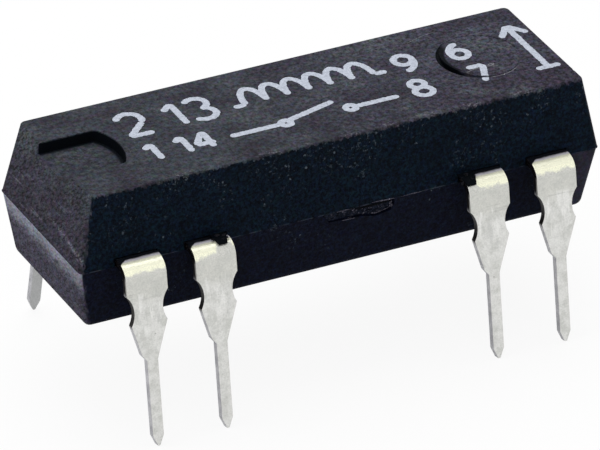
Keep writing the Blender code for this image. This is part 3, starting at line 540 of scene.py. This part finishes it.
def seal_glass():
    """Soft greenish glass with faint draw lines and seeds."""
    g = Graph("seal_glass_look")
    lines = g.noise(1, detail=2, where=g.stretched(0.3, 6, 6))
    sealed = g.ramp(g.absolute(g.x), 5.2, 5.6)
    g.set("Base Color", g.mix(sealed, srgb(196, 222, 204), srgb(150, 190, 164)))
    g.set("Roughness", g.ramp(lines, 0.3, 0.7, 0.03, 0.12))
    g.shader.inputs["Transmission Weight"].default_value = 0.92
    g.shader.inputs["IOR"].default_value = 1.51
    g.set("Normal", g.bump(g.plus(lines, g.specks(1.5, 0.05)), 0.01 * MM, 0.3))
    return g.material


def reed_alloy():
    """Nickel-iron wire, drawn lengthwise, with bright plating at the contact end."""
    g = Graph("reed_alloy_look")
    drawn = g.noise(1, detail=3, where=g.stretched(0.6, 30, 30))
    contact = g.ramp(g.absolute(g.x), 1.1, 0.9)
    metal = g.mix(g.ramp(drawn, 0.3, 0.7), srgb(176, 172, 164), srgb(206, 203, 196))
    g.set("Base Color", g.mix(contact, metal, srgb(216, 218, 226)))
    g.shader.inputs["Metallic"].default_value = 1.0
    g.set("Roughness", g.ramp(drawn, 0.3, 0.7, 0.22, 0.36))
    g.set("Normal", g.bump(drawn, 0.004 * MM, 0.4))
    return g.material


def bobbin_plastic():
    """Ivory moulded plastic with soft flow lines and a fine mould grain."""
    g = Graph("bobbin_plastic_look")
    flow = g.noise(1, detail=3, where=g.stretched(0.8, 2.5, 2.5))
    grain = g.noise(16, detail=2)
    g.set("Base Color", g.mix(g.ramp(flow, 0.3, 0.7), srgb(214, 207, 186), srgb(226, 220, 202)))
    g.set("Roughness", g.ramp(grain, 0.3, 0.7, 0.42, 0.55))
    g.set("Normal", g.bump(grain, 0.008 * MM, 0.4))
    return g.material


def enamelled_wire():
    """Copper wire under clear enamel, with the turns as fine ridges about X."""
    g = Graph("enamelled_wire_look")
    wire_pitch = 0.06
    turn = g.math("SINE", g.times(g.x, 2 * math.pi / wire_pitch))
    lay = g.noise(1, detail=3, where=g.stretched(12, 0.7, 0.7))
    copper = g.mix(g.ramp(lay, 0.3, 0.7), srgb(150, 74, 38), srgb(186, 98, 54))
    g.set("Base Color", g.mix(g.ramp(turn, 0.0, -1.0, 0.0, 0.6), copper, srgb(92, 40, 20)))
    g.shader.inputs["Metallic"].default_value = 0.8
    g.set("Roughness", g.ramp(lay, 0.3, 0.7, 0.25, 0.4))
    g.shader.inputs["Coat Weight"].default_value = 0.5
    g.set("Normal", g.bump(turn, 0.01 * MM, 0.6))
    return g.material


def solder():
    """Tin solder with a slightly crazed skin."""
    g = Graph("solder_look")
    skin = g.noise(7, detail=4, roughness=0.6)
    g.set("Base Color", g.mix(g.ramp(skin, 0.35, 0.65), srgb(186, 188, 190), srgb(216, 217, 216)))
    g.shader.inputs["Metallic"].default_value = 1.0
    g.set("Roughness", g.ramp(skin, 0.3, 0.7, 0.18, 0.36))
    g.set("Normal", g.bump(skin, 0.01 * MM, 0.5))
    return g.material


def ink():
    """White print with thin spots, where the compound shows through."""
    g = Graph("ink_look")
    mottle = g.noise(8, detail=4, roughness=0.75)
    pale = g.mix(g.ramp(mottle, 0.3, 0.7), srgb(166, 173, 186), srgb(198, 204, 218))
    thin = g.both(g.ramp(g.noise(12, detail=3, roughness=0.75), 0.4, 0.32), 0.7)
    g.set("Base Color", g.mix(thin, pale, srgb(100, 104, 114)))
    g.set("Roughness", g.ramp(mottle, 0.3, 0.7, 0.55, 0.75))
    g.shader.inputs["Specular IOR Level"].default_value = 0.2
    g.set("Normal", g.bump(mottle, 0.008 * MM, 0.4))
    return g.material


def gate_compound():
    """Fracture of the gate: a painted shadow under the lip, with painted glints lower down."""
    g = Graph("gate_fracture_look")
    facets = g.noise(9, detail=3, roughness=0.75)
    color = g.mix(g.ramp(facets, 0.36, 0.68), srgb(0, 2, 8), srgb(26, 32, 46))
    # Painted glints on the facets, stronger towards the right end
    broken = g.both(g.ramp(g.noise(11, detail=3, roughness=0.8), 0.52, 0.66), g.ramp(g.noise(3), 0.4, 0.55))
    color = g.mix(g.both(broken, g.ramp(g.x, -0.8, 0.9, 0.25, 0.85)), color, srgb(72, 72, 84))
    # Painted shadow under the lip
    shadow_under_lip = g.both(g.ramp(g.z, -0.24, -0.15), g.ramp(g.x, 0.1, 0.8))
    color = g.mix(shadow_under_lip, color, srgb(1, 2, 4))
    g.set("Base Color", color)
    g.set("Roughness", g.ramp(facets, 0.3, 0.7, 0.5, 0.75))
    g.shader.inputs["Specular IOR Level"].default_value = 0.03
    g.set("Normal", g.bump(facets, 0.02 * MM, 0.8))
    return g.material


def flash_compound(name, dark, light):
    """Torn compound: mostly dark, with painted glints on small facets."""
    g = Graph(name)
    facets = g.noise(16, detail=3, roughness=0.75)
    glints = g.both(g.specks(7, 0.2), g.ramp(g.noise(4), 0.5, 0.62))
    torn = g.mix(g.ramp(facets, 0.45, 0.7), dark, light)
    g.set("Base Color", g.mix(g.both(glints, 0.5), torn, g.mix(1.0, light, (5.0, 5.0, 5.0), "MULTIPLY")))
    g.set("Roughness", g.ramp(facets, 0.3, 0.7, 0.4, 0.7))
    g.shader.inputs["Specular IOR Level"].default_value = 0.12
    g.set("Normal", g.bump(facets, 0.02 * MM, 0.8))
    return g.material


def smoothing_group():
    """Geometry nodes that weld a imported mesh's split corners and smooth it up to an angle."""
    group = bpy.data.node_groups.new("welded_and_smooth", "GeometryNodeTree")
    group.interface.new_socket("Geometry", in_out="INPUT", socket_type="NodeSocketGeometry")
    group.interface.new_socket("Geometry", in_out="OUTPUT", socket_type="NodeSocketGeometry")
    source = group.nodes.new("NodeGroupInput")
    weld = group.nodes.new("GeometryNodeMergeByDistance")
    weld.inputs["Distance"].default_value = WELD_DISTANCE
    angle = group.nodes.new("GeometryNodeInputMeshEdgeAngle")
    sharp = group.nodes.new("FunctionNodeCompare")
    sharp.data_type = "FLOAT"
    sharp.operation = "GREATER_THAN"
    sharp.inputs[1].default_value = PACKED_SMOOTH_ANGLE
    normals = group.nodes.new("GeometryNodeSetMeshNormal")
    normals.inputs["Remove Custom"].default_value = True
    normals.inputs["Face Sharpness"].default_value = False
    target = group.nodes.new("NodeGroupOutput")
    group.links.new(source.outputs[0], weld.inputs["Geometry"])
    group.links.new(angle.outputs["Unsigned Angle"], sharp.inputs[0])
    group.links.new(weld.outputs["Geometry"], normals.inputs["Mesh"])
    group.links.new(sharp.outputs["Result"], normals.inputs["Edge Sharpness"])
    group.links.new(normals.outputs["Mesh"], target.inputs[0])
    return group


def dress_nodes():
    """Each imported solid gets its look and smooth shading, and the frames get softened edges."""
    looks = {
        "moulded_body": moulding_compound(),
        "glass_capsule": seal_glass(),
        "coil_bobbin": bobbin_plastic(),
        "coil_winding": enamelled_wire(),
    }
    strip = tinned_strip()
    alloy = reed_alloy()
    tin = solder()
    for end in ("left", "right"):
        looks[f"contact_frame_{end}"] = strip
        looks[f"coil_frame_{end}"] = strip
        looks[f"reed_{end}"] = alloy
        looks[f"solder_{end}"] = tin
    group = smoothing_group()
    for name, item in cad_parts.items():
        item.material_slots[0].material = looks[name]
        item.modifiers.new("welded_and_smooth", "NODES").node_group = group
        if "frame" in name:
            bevel = item.modifiers.new("soft_edges", "BEVEL")
            bevel.width = FRAME_BEVEL
            bevel.segments = 2
            bevel.angle_limit = FRAME_BEVEL_ANGLE
            bevel.harden_normals = True
        else:
            weighted = item.modifiers.new("flat_faces", "WEIGHTED_NORMAL")
            weighted.keep_sharp = True


def packed_surface():
    """The moulded body's surface, for pieces that are laid on it."""
    bpy.context.view_layer.update()
    return BVHTree.FromObject(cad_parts["moulded_body"], bpy.context.evaluated_depsgraph_get())


def laid_on(surface, point, toward):
    """Where a point lands on the body when it comes from outside along a direction."""
    hit = surface.ray_cast(point - toward * CAST_DISTANCE, toward)[0]
    return hit if hit is not None else point


def ring_loft(bm, rings, closed):
    """Solid through rings of points, closed to a loop or with an end face at both ends."""
    rows = [[bm.verts.new(point) for point in ring] for ring in rings]
    pairs = list(zip(rows, rows[1:]))
    if closed:
        pairs.append((rows[-1], rows[0]))
    count = len(rows[0])
    for row, following in pairs:
        for i in range(count):
            j = (i + 1) % count
            bm.faces.new((row[i], row[j], following[j], following[i]))
    if not closed:
        bm.faces.new(rows[0])
        bm.faces.new(rows[-1])


def finished(name, bm, material):
    """Object from a bmesh, smooth up to an angle, that rides on the body."""
    bmesh.ops.recalc_face_normals(bm, faces=bm.faces)
    mesh = bpy.data.meshes.new(name)
    bm.to_mesh(mesh)
    bm.free()
    mesh.materials.append(material)
    mesh.shade_smooth()
    mesh.set_sharp_from_angle(angle=PIECE_SMOOTH_ANGLE)
    item = bpy.data.objects.new(name, mesh)
    bpy.context.scene.collection.objects.link(item)
    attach(item, BODY)


def resampled(points):
    """Points about a step apart along a polyline, both ends kept, and its length."""
    lengths = [0.0]
    for start, end in zip(points, points[1:]):
        lengths.append(lengths[-1] + (end - start).length)
    count = max(4, round(lengths[-1] / STROKE_STEP))
    result = []
    segment = 0
    for index in range(count + 1):
        target = lengths[-1] * index / count
        while segment < len(points) - 2 and lengths[segment + 1] < target:
            segment += 1
        span = lengths[segment + 1] - lengths[segment]
        share = (target - lengths[segment]) / span if span else 0.0
        result.append(points[segment].lerp(points[segment + 1], share))
    return result, lengths[-1]


def stroke_half(width, run, length, taper):
    """Half width of an open stroke at a run along it, thinned towards both ends or round at them."""
    half = width / 2
    end = min(run, length - run)
    if taper:
        return half * math.sin(math.pi * (0.06 + 0.88 * run / length)) ** 0.6
    if end < half:
        return half * math.sqrt(max(0.06, 1 - (1 - end / half) ** 2))
    return half


def stroke_section(surface, point, across, edges, height, toward):
    """Section of a stroke from edge to edge, crowned above and sunk a little into the surface below."""
    section = []
    for step in range(5):
        offset = edges[0] + (edges[1] - edges[0]) * step / 4
        spot = laid_on(surface, point + across * offset, toward)
        crown = 1 - 0.5 * (step / 2 - 1) ** 2
        section.append(spot - toward * height * crown)
    for offset in reversed(edges):
        spot = laid_on(surface, point + across * offset, toward)
        section.append(spot + toward * STROKE_SINK)
    return section


def ribbon(bm, surface, points, width, height, ragged=0.22, taper=False, toward=DOWN):
    """One stroke laid on the body along a direction, as a closed solid with ragged edges."""
    closed = (points[0] - points[-1]).length < SAME_POINT
    line, length = resampled(points)
    if closed:
        line = line[:-1]
    count = len(line)
    rings = []
    for index, point in enumerate(line):
        before = line[index - 1] if index or closed else point
        after = line[(index + 1) % count] if index < count - 1 or closed else point
        across = (after - before).normalized().cross(toward)
        half = width / 2 if closed else stroke_half(width, length * index / (count - 1), length, taper)
        edges = []
        for side in (-1, 1):
            seed = (point - toward * side * RAGGED_SHIFT) / RAGGED_GRAIN
            edges.append(side * half * (1 + ragged * noise.noise(seed)))
        rings.append(stroke_section(surface, point, across, edges, height, toward))
    ring_loft(bm, rings, closed)


def arc_points(x, y, radius_x, radius_y, start, end, steps=24):
    angles = [math.radians(start + (end - start) * step / steps) for step in range(steps + 1)]
    return [(x + radius_x * math.cos(a), y + radius_y * math.sin(a)) for a in angles]


def digit_strokes():
    """Strokes of plain digits in a box of height 1, with each digit's width."""
    return {
        "1": (0.34, [[(0.0, 0.74), (0.3, 1.0)], [(0.3, 1.0), (0.3, 0.0)]]),
        "2": (0.62, [
            arc_points(0.31, 0.7, 0.3, 0.3, 165, -38),
            [(0.55, 0.52), (0.02, 0.0)],
            [(0.02, 0.0), (0.62, 0.0)],
        ]),
        "3": (0.6, [
            arc_points(0.28, 0.75, 0.28, 0.25, 150, -80),
            arc_points(0.28, 0.26, 0.31, 0.26, 85, -150),
        ]),
        "4": (0.68, [
            [(0.5, 1.0), (0.0, 0.3)],
            [(0.0, 0.3), (0.68, 0.3)],
            [(0.5, 1.0), (0.5, 0.0)],
        ]),
        "6": (0.62, [
            arc_points(0.31, 0.3, 0.3, 0.3, 0, 360),
            arc_points(0.62, 0.36, 0.61, 0.64, 100, 185),
        ]),
        "7": (0.6, [[(0.0, 1.0), (0.6, 1.0)], [(0.6, 1.0), (0.2, 0.0)]]),
        "8": (0.62, [
            arc_points(0.31, 0.27, 0.3, 0.27, 0, 360),
            arc_points(0.31, 0.77, 0.25, 0.23, 0, 360),
        ]),
        "9": (0.62, [
            arc_points(0.31, 0.7, 0.3, 0.3, 0, 360),
            arc_points(0.0, 0.64, 0.61, 0.64, -80, 5),
        ]),
    }


def number(text, x, y, height, gap=0.24):
    """Strokes of a number whose lower left corner is at x, y, in mm."""
    digits = digit_strokes()
    strokes = []
    for digit in text:
        width, lines = digits[digit]
        for line in lines:
            strokes.append([(x + px * height, y + py * height) for px, py in line])
        x += (width + gap) * height
    return strokes


def coil_symbol(start, end, y, turns, radius_y):
    """Coil sign: a row of arches between two straight ends."""
    lead = 0.45
    pitch = (end - start - 2 * lead) / turns
    strokes = [[(start, y), (start + lead, y)], [(end - lead, y), (end, y)]]
    for turn in range(turns):
        middle = start + lead + pitch * (turn + 0.5)
        strokes.append(arc_points(middle, y, pitch * 0.5, radius_y, 180, 0))
    return strokes


def contact_symbol(start, end, y, gap_start, gap_end, rise):
    """Contact sign: two rings and an open arm between two straight ends."""
    ring = 0.17
    return [
        [(start, y), (gap_start - ring, y)],
        arc_points(gap_start, y, ring, ring, 0, 360),
        [(gap_start + 0.14, y + 0.12), (gap_end - 0.35, y + rise)],
        arc_points(gap_end, y, ring, ring, 0, 360),
        [(gap_end + ring, y), (end, y)],
    ]


def print_strokes():
    """All strokes on the top face in mm: terminal numbers, a coil sign and a contact sign, and an arrow."""
    strokes = []
    strokes += number("2", -6.25, 0.24, 1.42)
    strokes += number("13", -4.55, 0.24, 1.38)
    strokes += coil_symbol(-2.3, 3.4, 0.52, 6, 0.95)
    strokes += number("9", 3.9, 0.2, 1.06)
    strokes += number("6", 5.85, 0.2, 0.98)
    strokes += number("1", -6.2, -1.47, 1.02)
    strokes += number("14", -5.1, -1.47, 1.02)
    strokes += contact_symbol(-3.25, 3.0, -1.12, -1.2, 1.2, 0.62)
    strokes += number("8", 3.6, -1.47, 1.02)
    strokes += number("7", 5.9, -1.47, 1.02)
    strokes += [
        [(8.45, -1.45), (8.45, 1.5)],
        [(8.45, 1.5), (7.95, 0.85)],
        [(8.45, 1.5), (8.95, 0.85)],
        [(8.0, -1.5), (8.9, -1.5)],
    ]
    return strokes


def on_top(stroke):
    return [Vector((x * MM, y * MM, TOP_Z)) for x, y in stroke]


def on_side(x, z):
    """Point in the body's middle plane, to be cast on to the near side."""
    return Vector((x * MM, 0, PARTING_Z + z * MM))


def build_print(surface):
    bm = bmesh.new()
    for index, stroke in enumerate(print_strokes()):
        ribbon(bm, surface, on_top(stroke), INK_WIDTH, INK_HEIGHT + INK_LAYER * (index % INK_LAYERS))
    finished("top_print", bm, ink())


def build_scratches(surface, material):
    """Fine burr round part of the ejector mark, pale as a painted highlight on its rim; two scratches
    inside it and one beside it.
    """
    bm = bmesh.new()
    lines = [
        # The burr's pale colour is a painted highlight on the ejector mark's rim
        (arc_points(EJECTOR_X, EJECTOR_Y, EJECTOR_RADIUS, EJECTOR_RADIUS, -102, -52), 0.03),
        ([(5.75, -0.72), (6.05, -0.62), (6.6, -0.61), (6.95, -0.75)], 0.03),
        (arc_points(6.78, -0.56, 0.11, 0.05, 0, 360, 12), 0.03),
        ([(4.9, 1.9), (5.6, 2.12), (6.1, 2.2)], 0.016),
    ]
    for points, width in lines:
        ribbon(bm, surface, on_top(points), width * MM, SCRATCH_HEIGHT, ragged=0.5, taper=True)
    finished("top_scratches", bm, material)


def torn_depth(x):
    """Lower edge of the torn area in the gate scar, in mm below the parting plane."""
    outline = [
        (TORN_START, 0.14),
        (-0.5, 0.34),
        (0.73, 0.4),
        (1.25, 0.52),
        (1.78, 0.44),
        (TORN_END, 0.15),
    ]
    for (start, low), (end, high) in zip(outline, outline[1:]):
        if x <= end:
            return low + (high - low) * (x - start) / (end - start)
    return outline[-1][1]


def build_gate_fracture(surface, material):
    """Torn floor of the gate scar, as a patch of rough facets that grow towards its right end."""
    columns, rows = 110, 22
    rings = []
    for column in range(columns + 1):
        share = column / columns
        x = TORN_START + (TORN_END - TORN_START) * share
        bottom = torn_depth(x)
        proud, floor = [], []
        for row in range(rows + 1):
            down = row / rows
            place = on_side(x, TORN_TOP - (bottom + TORN_TOP) * down)
            spot = laid_on(surface, place, INWARD)
            border = min(1.0, 8 * share, 8 * (1 - share), 5 * down, 6 * (1 - down))
            seed = Vector((place.x, place.z, 0)) / TORN_GRAIN
            relief = abs(noise.noise(seed)) + 0.6 * abs(noise.noise(seed * 2.3))
            height = border * (0.006 + (0.03 + 0.1 * share) * relief * down) * MM
            proud.append(spot - INWARD * height)
            floor.append(spot + INWARD * TORN_SINK)
        rings.append(proud + [floor[-1], floor[0]])
    bm = bmesh.new()
    ring_loft(bm, rings, closed=False)
    finished("gate_fracture", bm, material)


def build_gate_rims(surface, material):
    """Pale torn rims and crumbs in the gate scar, and rims on the lip of the parting line beside it."""
    bm = bmesh.new()
    lines = [
        ([(1.12, -0.5), (1.3, -0.525), (1.56, -0.485), (1.77, -0.445)], 0.05),
        ([(1.77, -0.445), (1.84, -0.32), (1.88, -0.17)], 0.06),
        ([(1.62, -0.2), (1.74, -0.26), (1.84, -0.2)], 0.05),
        ([(-0.02, -0.425), (0.21, -0.43), (0.46, -0.44)], 0.035),
        ([(-0.26, 0.0), (0.09, 0.0), (0.31, -0.01)], 0.024),
        ([(1.05, 0.03), (1.45, 0.02), (1.9, 0.0)], 0.03),
        ([(2.1, -0.01), (2.6, 0.0), (2.9, 0.0)], 0.024),
    ]
    for points, width in lines:
        path = [on_side(x, z) for x, z in points]
        ribbon(bm, surface, path, width * MM, RIM_HEIGHT, ragged=0.6, taper=True, toward=INWARD)
    crumbs = [
        (-0.42, -0.11, 0.026),
        (-0.2, -0.26, 0.024),
        (0.02, -0.11, 0.034),
        (0.19, -0.2, 0.02),
        (0.41, -0.13, 0.044),
        (0.56, -0.19, 0.03),
        (0.76, -0.18, 0.024),
        (0.83, -0.37, 0.05),
        (0.98, -0.2, 0.022),
        (1.08, -0.25, 0.03),
        (1.17, -0.46, 0.038),
        (1.36, -0.38, 0.02),
        (1.42, -0.5, 0.036),
        (1.48, -0.28, 0.026),
        (1.72, -0.33, 0.036),
        (1.82, -0.27, 0.044),
    ]
    for index, (x, z, half) in enumerate(crumbs):
        place = laid_on(surface, on_side(x, z), INWARD)
        shard(bm, place, Vector((1.3 * half, half, half)) * MM, index)
    finished("gate_rims", bm, material)


def shard(bm, place, size, seed):
    """Small angular crumb of torn compound."""
    made = bmesh.ops.create_icosphere(bm, subdivisions=2, radius=1.0)
    for vert in made["verts"]:
        key = vert.co * 1.3 + Vector((seed * 3.7, seed * 1.9, 0))
        reach = 0.75 + 0.7 * noise.noise(key) + 0.3 * noise.noise(key * 2.4)
        vert.co = place + Vector([axis * reach * half for axis, half in zip(vert.co, size)])


def build_crumbs(material):
    """Ragged crumbs on the rims of the two flakes that the flash leaves on the leads."""
    bm = bmesh.new()
    # Each crumb's lead column, its place right of it, outwards and above the strip, and its half sizes
    crumbs = [
        (-2, 0.10, 3.36, 0.20, (0.07, 0.07, 0.05)),
        (-2, 0.20, 3.46, 0.15, (0.05, 0.08, 0.05)),
        (-2, 0.30, 3.25, 0.24, (0.11, 0.07, 0.07)),
        (-2, 0.42, 3.44, 0.17, (0.06, 0.07, 0.05)),
        (-2, 0.52, 3.28, 0.22, (0.08, 0.08, 0.06)),
        (-2, 0.60, 3.38, 0.18, (0.06, 0.06, 0.04)),
        (2, -0.80, 3.34, 0.17, (0.08, 0.08, 0.07)),
        (2, -0.84, 3.46, 0.08, (0.05, 0.06, 0.08)),
        (2, -0.66, 3.50, 0.12, (0.08, 0.06, 0.05)),
        (2, -0.50, 3.46, 0.15, (0.08, 0.07, 0.05)),
        (2, -0.36, 3.38, 0.18, (0.05, 0.07, 0.05)),
        (2, -0.62, 3.26, 0.22, (0.12, 0.09, 0.06)),
    ]
    for index, (column, right, out, height, size) in enumerate(crumbs):
        x = column * LEAD_PITCH + right
        place = Vector((x * MM, -out * MM, STRIP_Z + height * MM))
        shard(bm, place, Vector(size) * MM, index)
    finished("flash_crumbs", bm, material)


def wisp_section(x, side, share):
    """Section of a wisp of flash on one side: its root inside the body and its thin, wavy tip."""
    wisp = max(0.0, noise.noise(Vector((x, side * 3 * MM, 0)) / WISP_GRAIN))
    lift = WISP_LIFT * noise.noise(Vector((x, side * MM, 0)) / WISP_WAVE)
    root = side * (BODY_HALF_WIDTH * MM - WISP_SINK)
    tip = side * (BODY_HALF_WIDTH * MM + WISP_PROUD + WISP_REACH * wisp * share)
    return [
        Vector((x, root, PARTING_Z - WISP_ROOT_HALF)),
        Vector((x, root, PARTING_Z + WISP_ROOT_HALF)),
        Vector((x, tip, PARTING_Z + lift + WISP_TIP_HALF)),
        Vector((x, tip, PARTING_Z + lift - WISP_TIP_HALF)),
    ]


def build_parting_flash(material):
    """Wisps of flash along the long sides' parting line, between the leads and on to the ends."""
    bm = bmesh.new()
    edges = [BODY_LOW.x + WISP_END_GAP]
    for column in LEAD_COLUMNS:
        middle = column * LEAD_PITCH * MM
        half = LEAD_HALF_WIDTH * MM + WISP_LEAD_GAP
        edges += [middle - half, middle + half]
    edges.append(BODY_HIGH.x - WISP_END_GAP)
    for side in (-1, 1):
        for start, end in zip(edges[::2], edges[1::2]):
            count = max(6, round((end - start) / WISP_STEP))
            rings = []
            for step in range(count + 1):
                x = start + (end - start) * step / count
                share = min(1.0, step / 3, (count - step) / 3)
                rings.append(wisp_section(x, side, share))
            ring_loft(bm, rings, closed=False)
    finished("parting_flash", bm, material)


def seen_or_reflected(tree):
    """1 for camera, glossy and transmission rays."""
    path = tree.nodes.new("ShaderNodeLightPath")
    seen = path.outputs["Is Camera Ray"]
    for ray in ("Is Glossy Ray", "Is Transmission Ray"):
        larger = tree.nodes.new("ShaderNodeMath")
        larger.operation = "MAXIMUM"
        tree.links.new(seen, larger.inputs[0])
        tree.links.new(path.outputs[ray], larger.inputs[1])
        seen = larger.outputs[0]
    return seen


def blend_to(tree, share, first, second, output):
    """A share of the second shader over the first one, as a material's or world's surface."""
    blend = tree.nodes.new("ShaderNodeMixShader")
    for source, socket in zip((share, first.outputs[0], second.outputs[0]), blend.inputs):
        tree.links.new(source, socket)
    tree.links.new(blend.outputs[0], output.inputs["Surface"])


def build_floor():
    """Pale floor. Where it is seen or reflected, most of its white is its own, so its shadows are soft."""
    material = bpy.data.materials.new("pale_floor")
    material.use_nodes = True
    tree = material.node_tree
    tree.nodes.clear()
    matte = tree.nodes.new("ShaderNodeBsdfDiffuse")
    matte.inputs["Color"].default_value = FLOOR_COLOR
    glow = tree.nodes.new("ShaderNodeEmission")
    share = tree.nodes.new("ShaderNodeMath")
    share.operation = "MULTIPLY"
    share.inputs[1].default_value = FLOOR_GLOW
    tree.links.new(seen_or_reflected(tree), share.inputs[0])
    blend_to(tree, share.outputs[0], matte, glow, tree.nodes.new("ShaderNodeOutputMaterial"))
    bm = bmesh.new()
    bmesh.ops.create_grid(bm, x_segments=1, y_segments=1, size=FLOOR_REACH)
    mesh = bpy.data.meshes.new("floor")
    bm.to_mesh(mesh)
    bm.free()
    mesh.materials.append(material)
    floor = bpy.data.objects.new("floor", mesh)
    floor.location = (0, 0, cad_box[0].z)
    bpy.context.scene.collection.objects.link(floor)


def build_world():
    """Soft white surroundings, which show as plain white where they are seen or reflected."""
    world = bpy.data.worlds.new("studio")
    world.use_nodes = True
    tree = world.node_tree
    tree.nodes.clear()
    soft = tree.nodes.new("ShaderNodeBackground")
    soft.inputs["Strength"].default_value = WORLD_LEVEL
    white = tree.nodes.new("ShaderNodeBackground")
    for shade in (soft, white):
        shade.inputs["Color"].default_value = (*WHITE, 1.0)
    blend_to(tree, seen_or_reflected(tree), soft, white, tree.nodes.new("ShaderNodeOutputWorld"))
    bpy.context.scene.world = world


def direction(azimuth, elevation):
    """Unit vector from the object towards a viewer at that azimuth and elevation."""
    flat = math.cos(elevation)
    return Vector((math.sin(azimuth) * flat, -math.cos(azimuth) * flat, math.sin(elevation)))


def softbox(name, azimuth, elevation, distance, size, level):
    """Square area light that gives a white surface facing it that level."""
    light = bpy.data.lights.new(name, "AREA")
    light.size = size
    light.energy = level * (math.pi * distance) ** 2
    item = bpy.data.objects.new(name, light)
    toward = direction(math.radians(azimuth), math.radians(elevation))
    item.location = Vector((0, 0, PARTING_Z)) + toward * distance
    item.rotation_mode = "QUATERNION"
    item.rotation_quaternion = toward.to_track_quat("Z", "Y")
    bpy.context.scene.collection.objects.link(item)


def build_camera():
    back = direction(CAMERA_AZIMUTH, CAMERA_ELEVATION)
    right = Vector((0, 0, 1)).cross(back).normalized()
    up = back.cross(right)
    cos_roll, sin_roll = math.cos(CAMERA_ROLL), math.sin(CAMERA_ROLL)
    right, up = right * cos_roll + up * sin_roll, up * cos_roll - right * sin_roll
    data = bpy.data.cameras.new("camera")
    data.lens = CAMERA_LENS
    data.sensor_width = CAMERA_SENSOR
    data.clip_start = 0.01
    data.clip_end = 10
    camera = bpy.data.objects.new("camera", data)
    place = Vector((0, 0, PARTING_Z)) + right * CAMERA_RIGHT + up * CAMERA_UP + back * CAMERA_DISTANCE
    turned = Matrix((right, up, back)).transposed().to_4x4()
    camera.matrix_world = Matrix.Translation(place) @ turned
    bpy.context.scene.collection.objects.link(camera)
    bpy.context.scene.camera = camera


def build_studio():
    build_floor()
    build_world()
    for settings in SOFTBOXES:
        softbox(*settings)
    build_camera()
    bpy.context.scene.view_settings.view_transform = "Standard"


def main():
    dress_nodes()
    surface = packed_surface()
    build_print(surface)
    # Pale scratches, and a painted highlight on the ejector mark's burr
    scratch_and_highlight_look = flash_compound("scratch_and_rim_highlight_look", srgb(108, 108, 114), srgb(170, 172, 177))
    build_scratches(surface, scratch_and_highlight_look)
    build_gate_fracture(surface, gate_compound())
    build_gate_rims(surface, flash_compound("torn_rim_look", srgb(62, 60, 72), srgb(122, 120, 133)))
    build_crumbs(flash_compound("crumb_look", srgb(2, 3, 6), srgb(30, 29, 40)))
    build_parting_flash(flash_compound("thin_flash_look", srgb(5, 10, 18), srgb(40, 46, 58)))
    build_studio()


main()
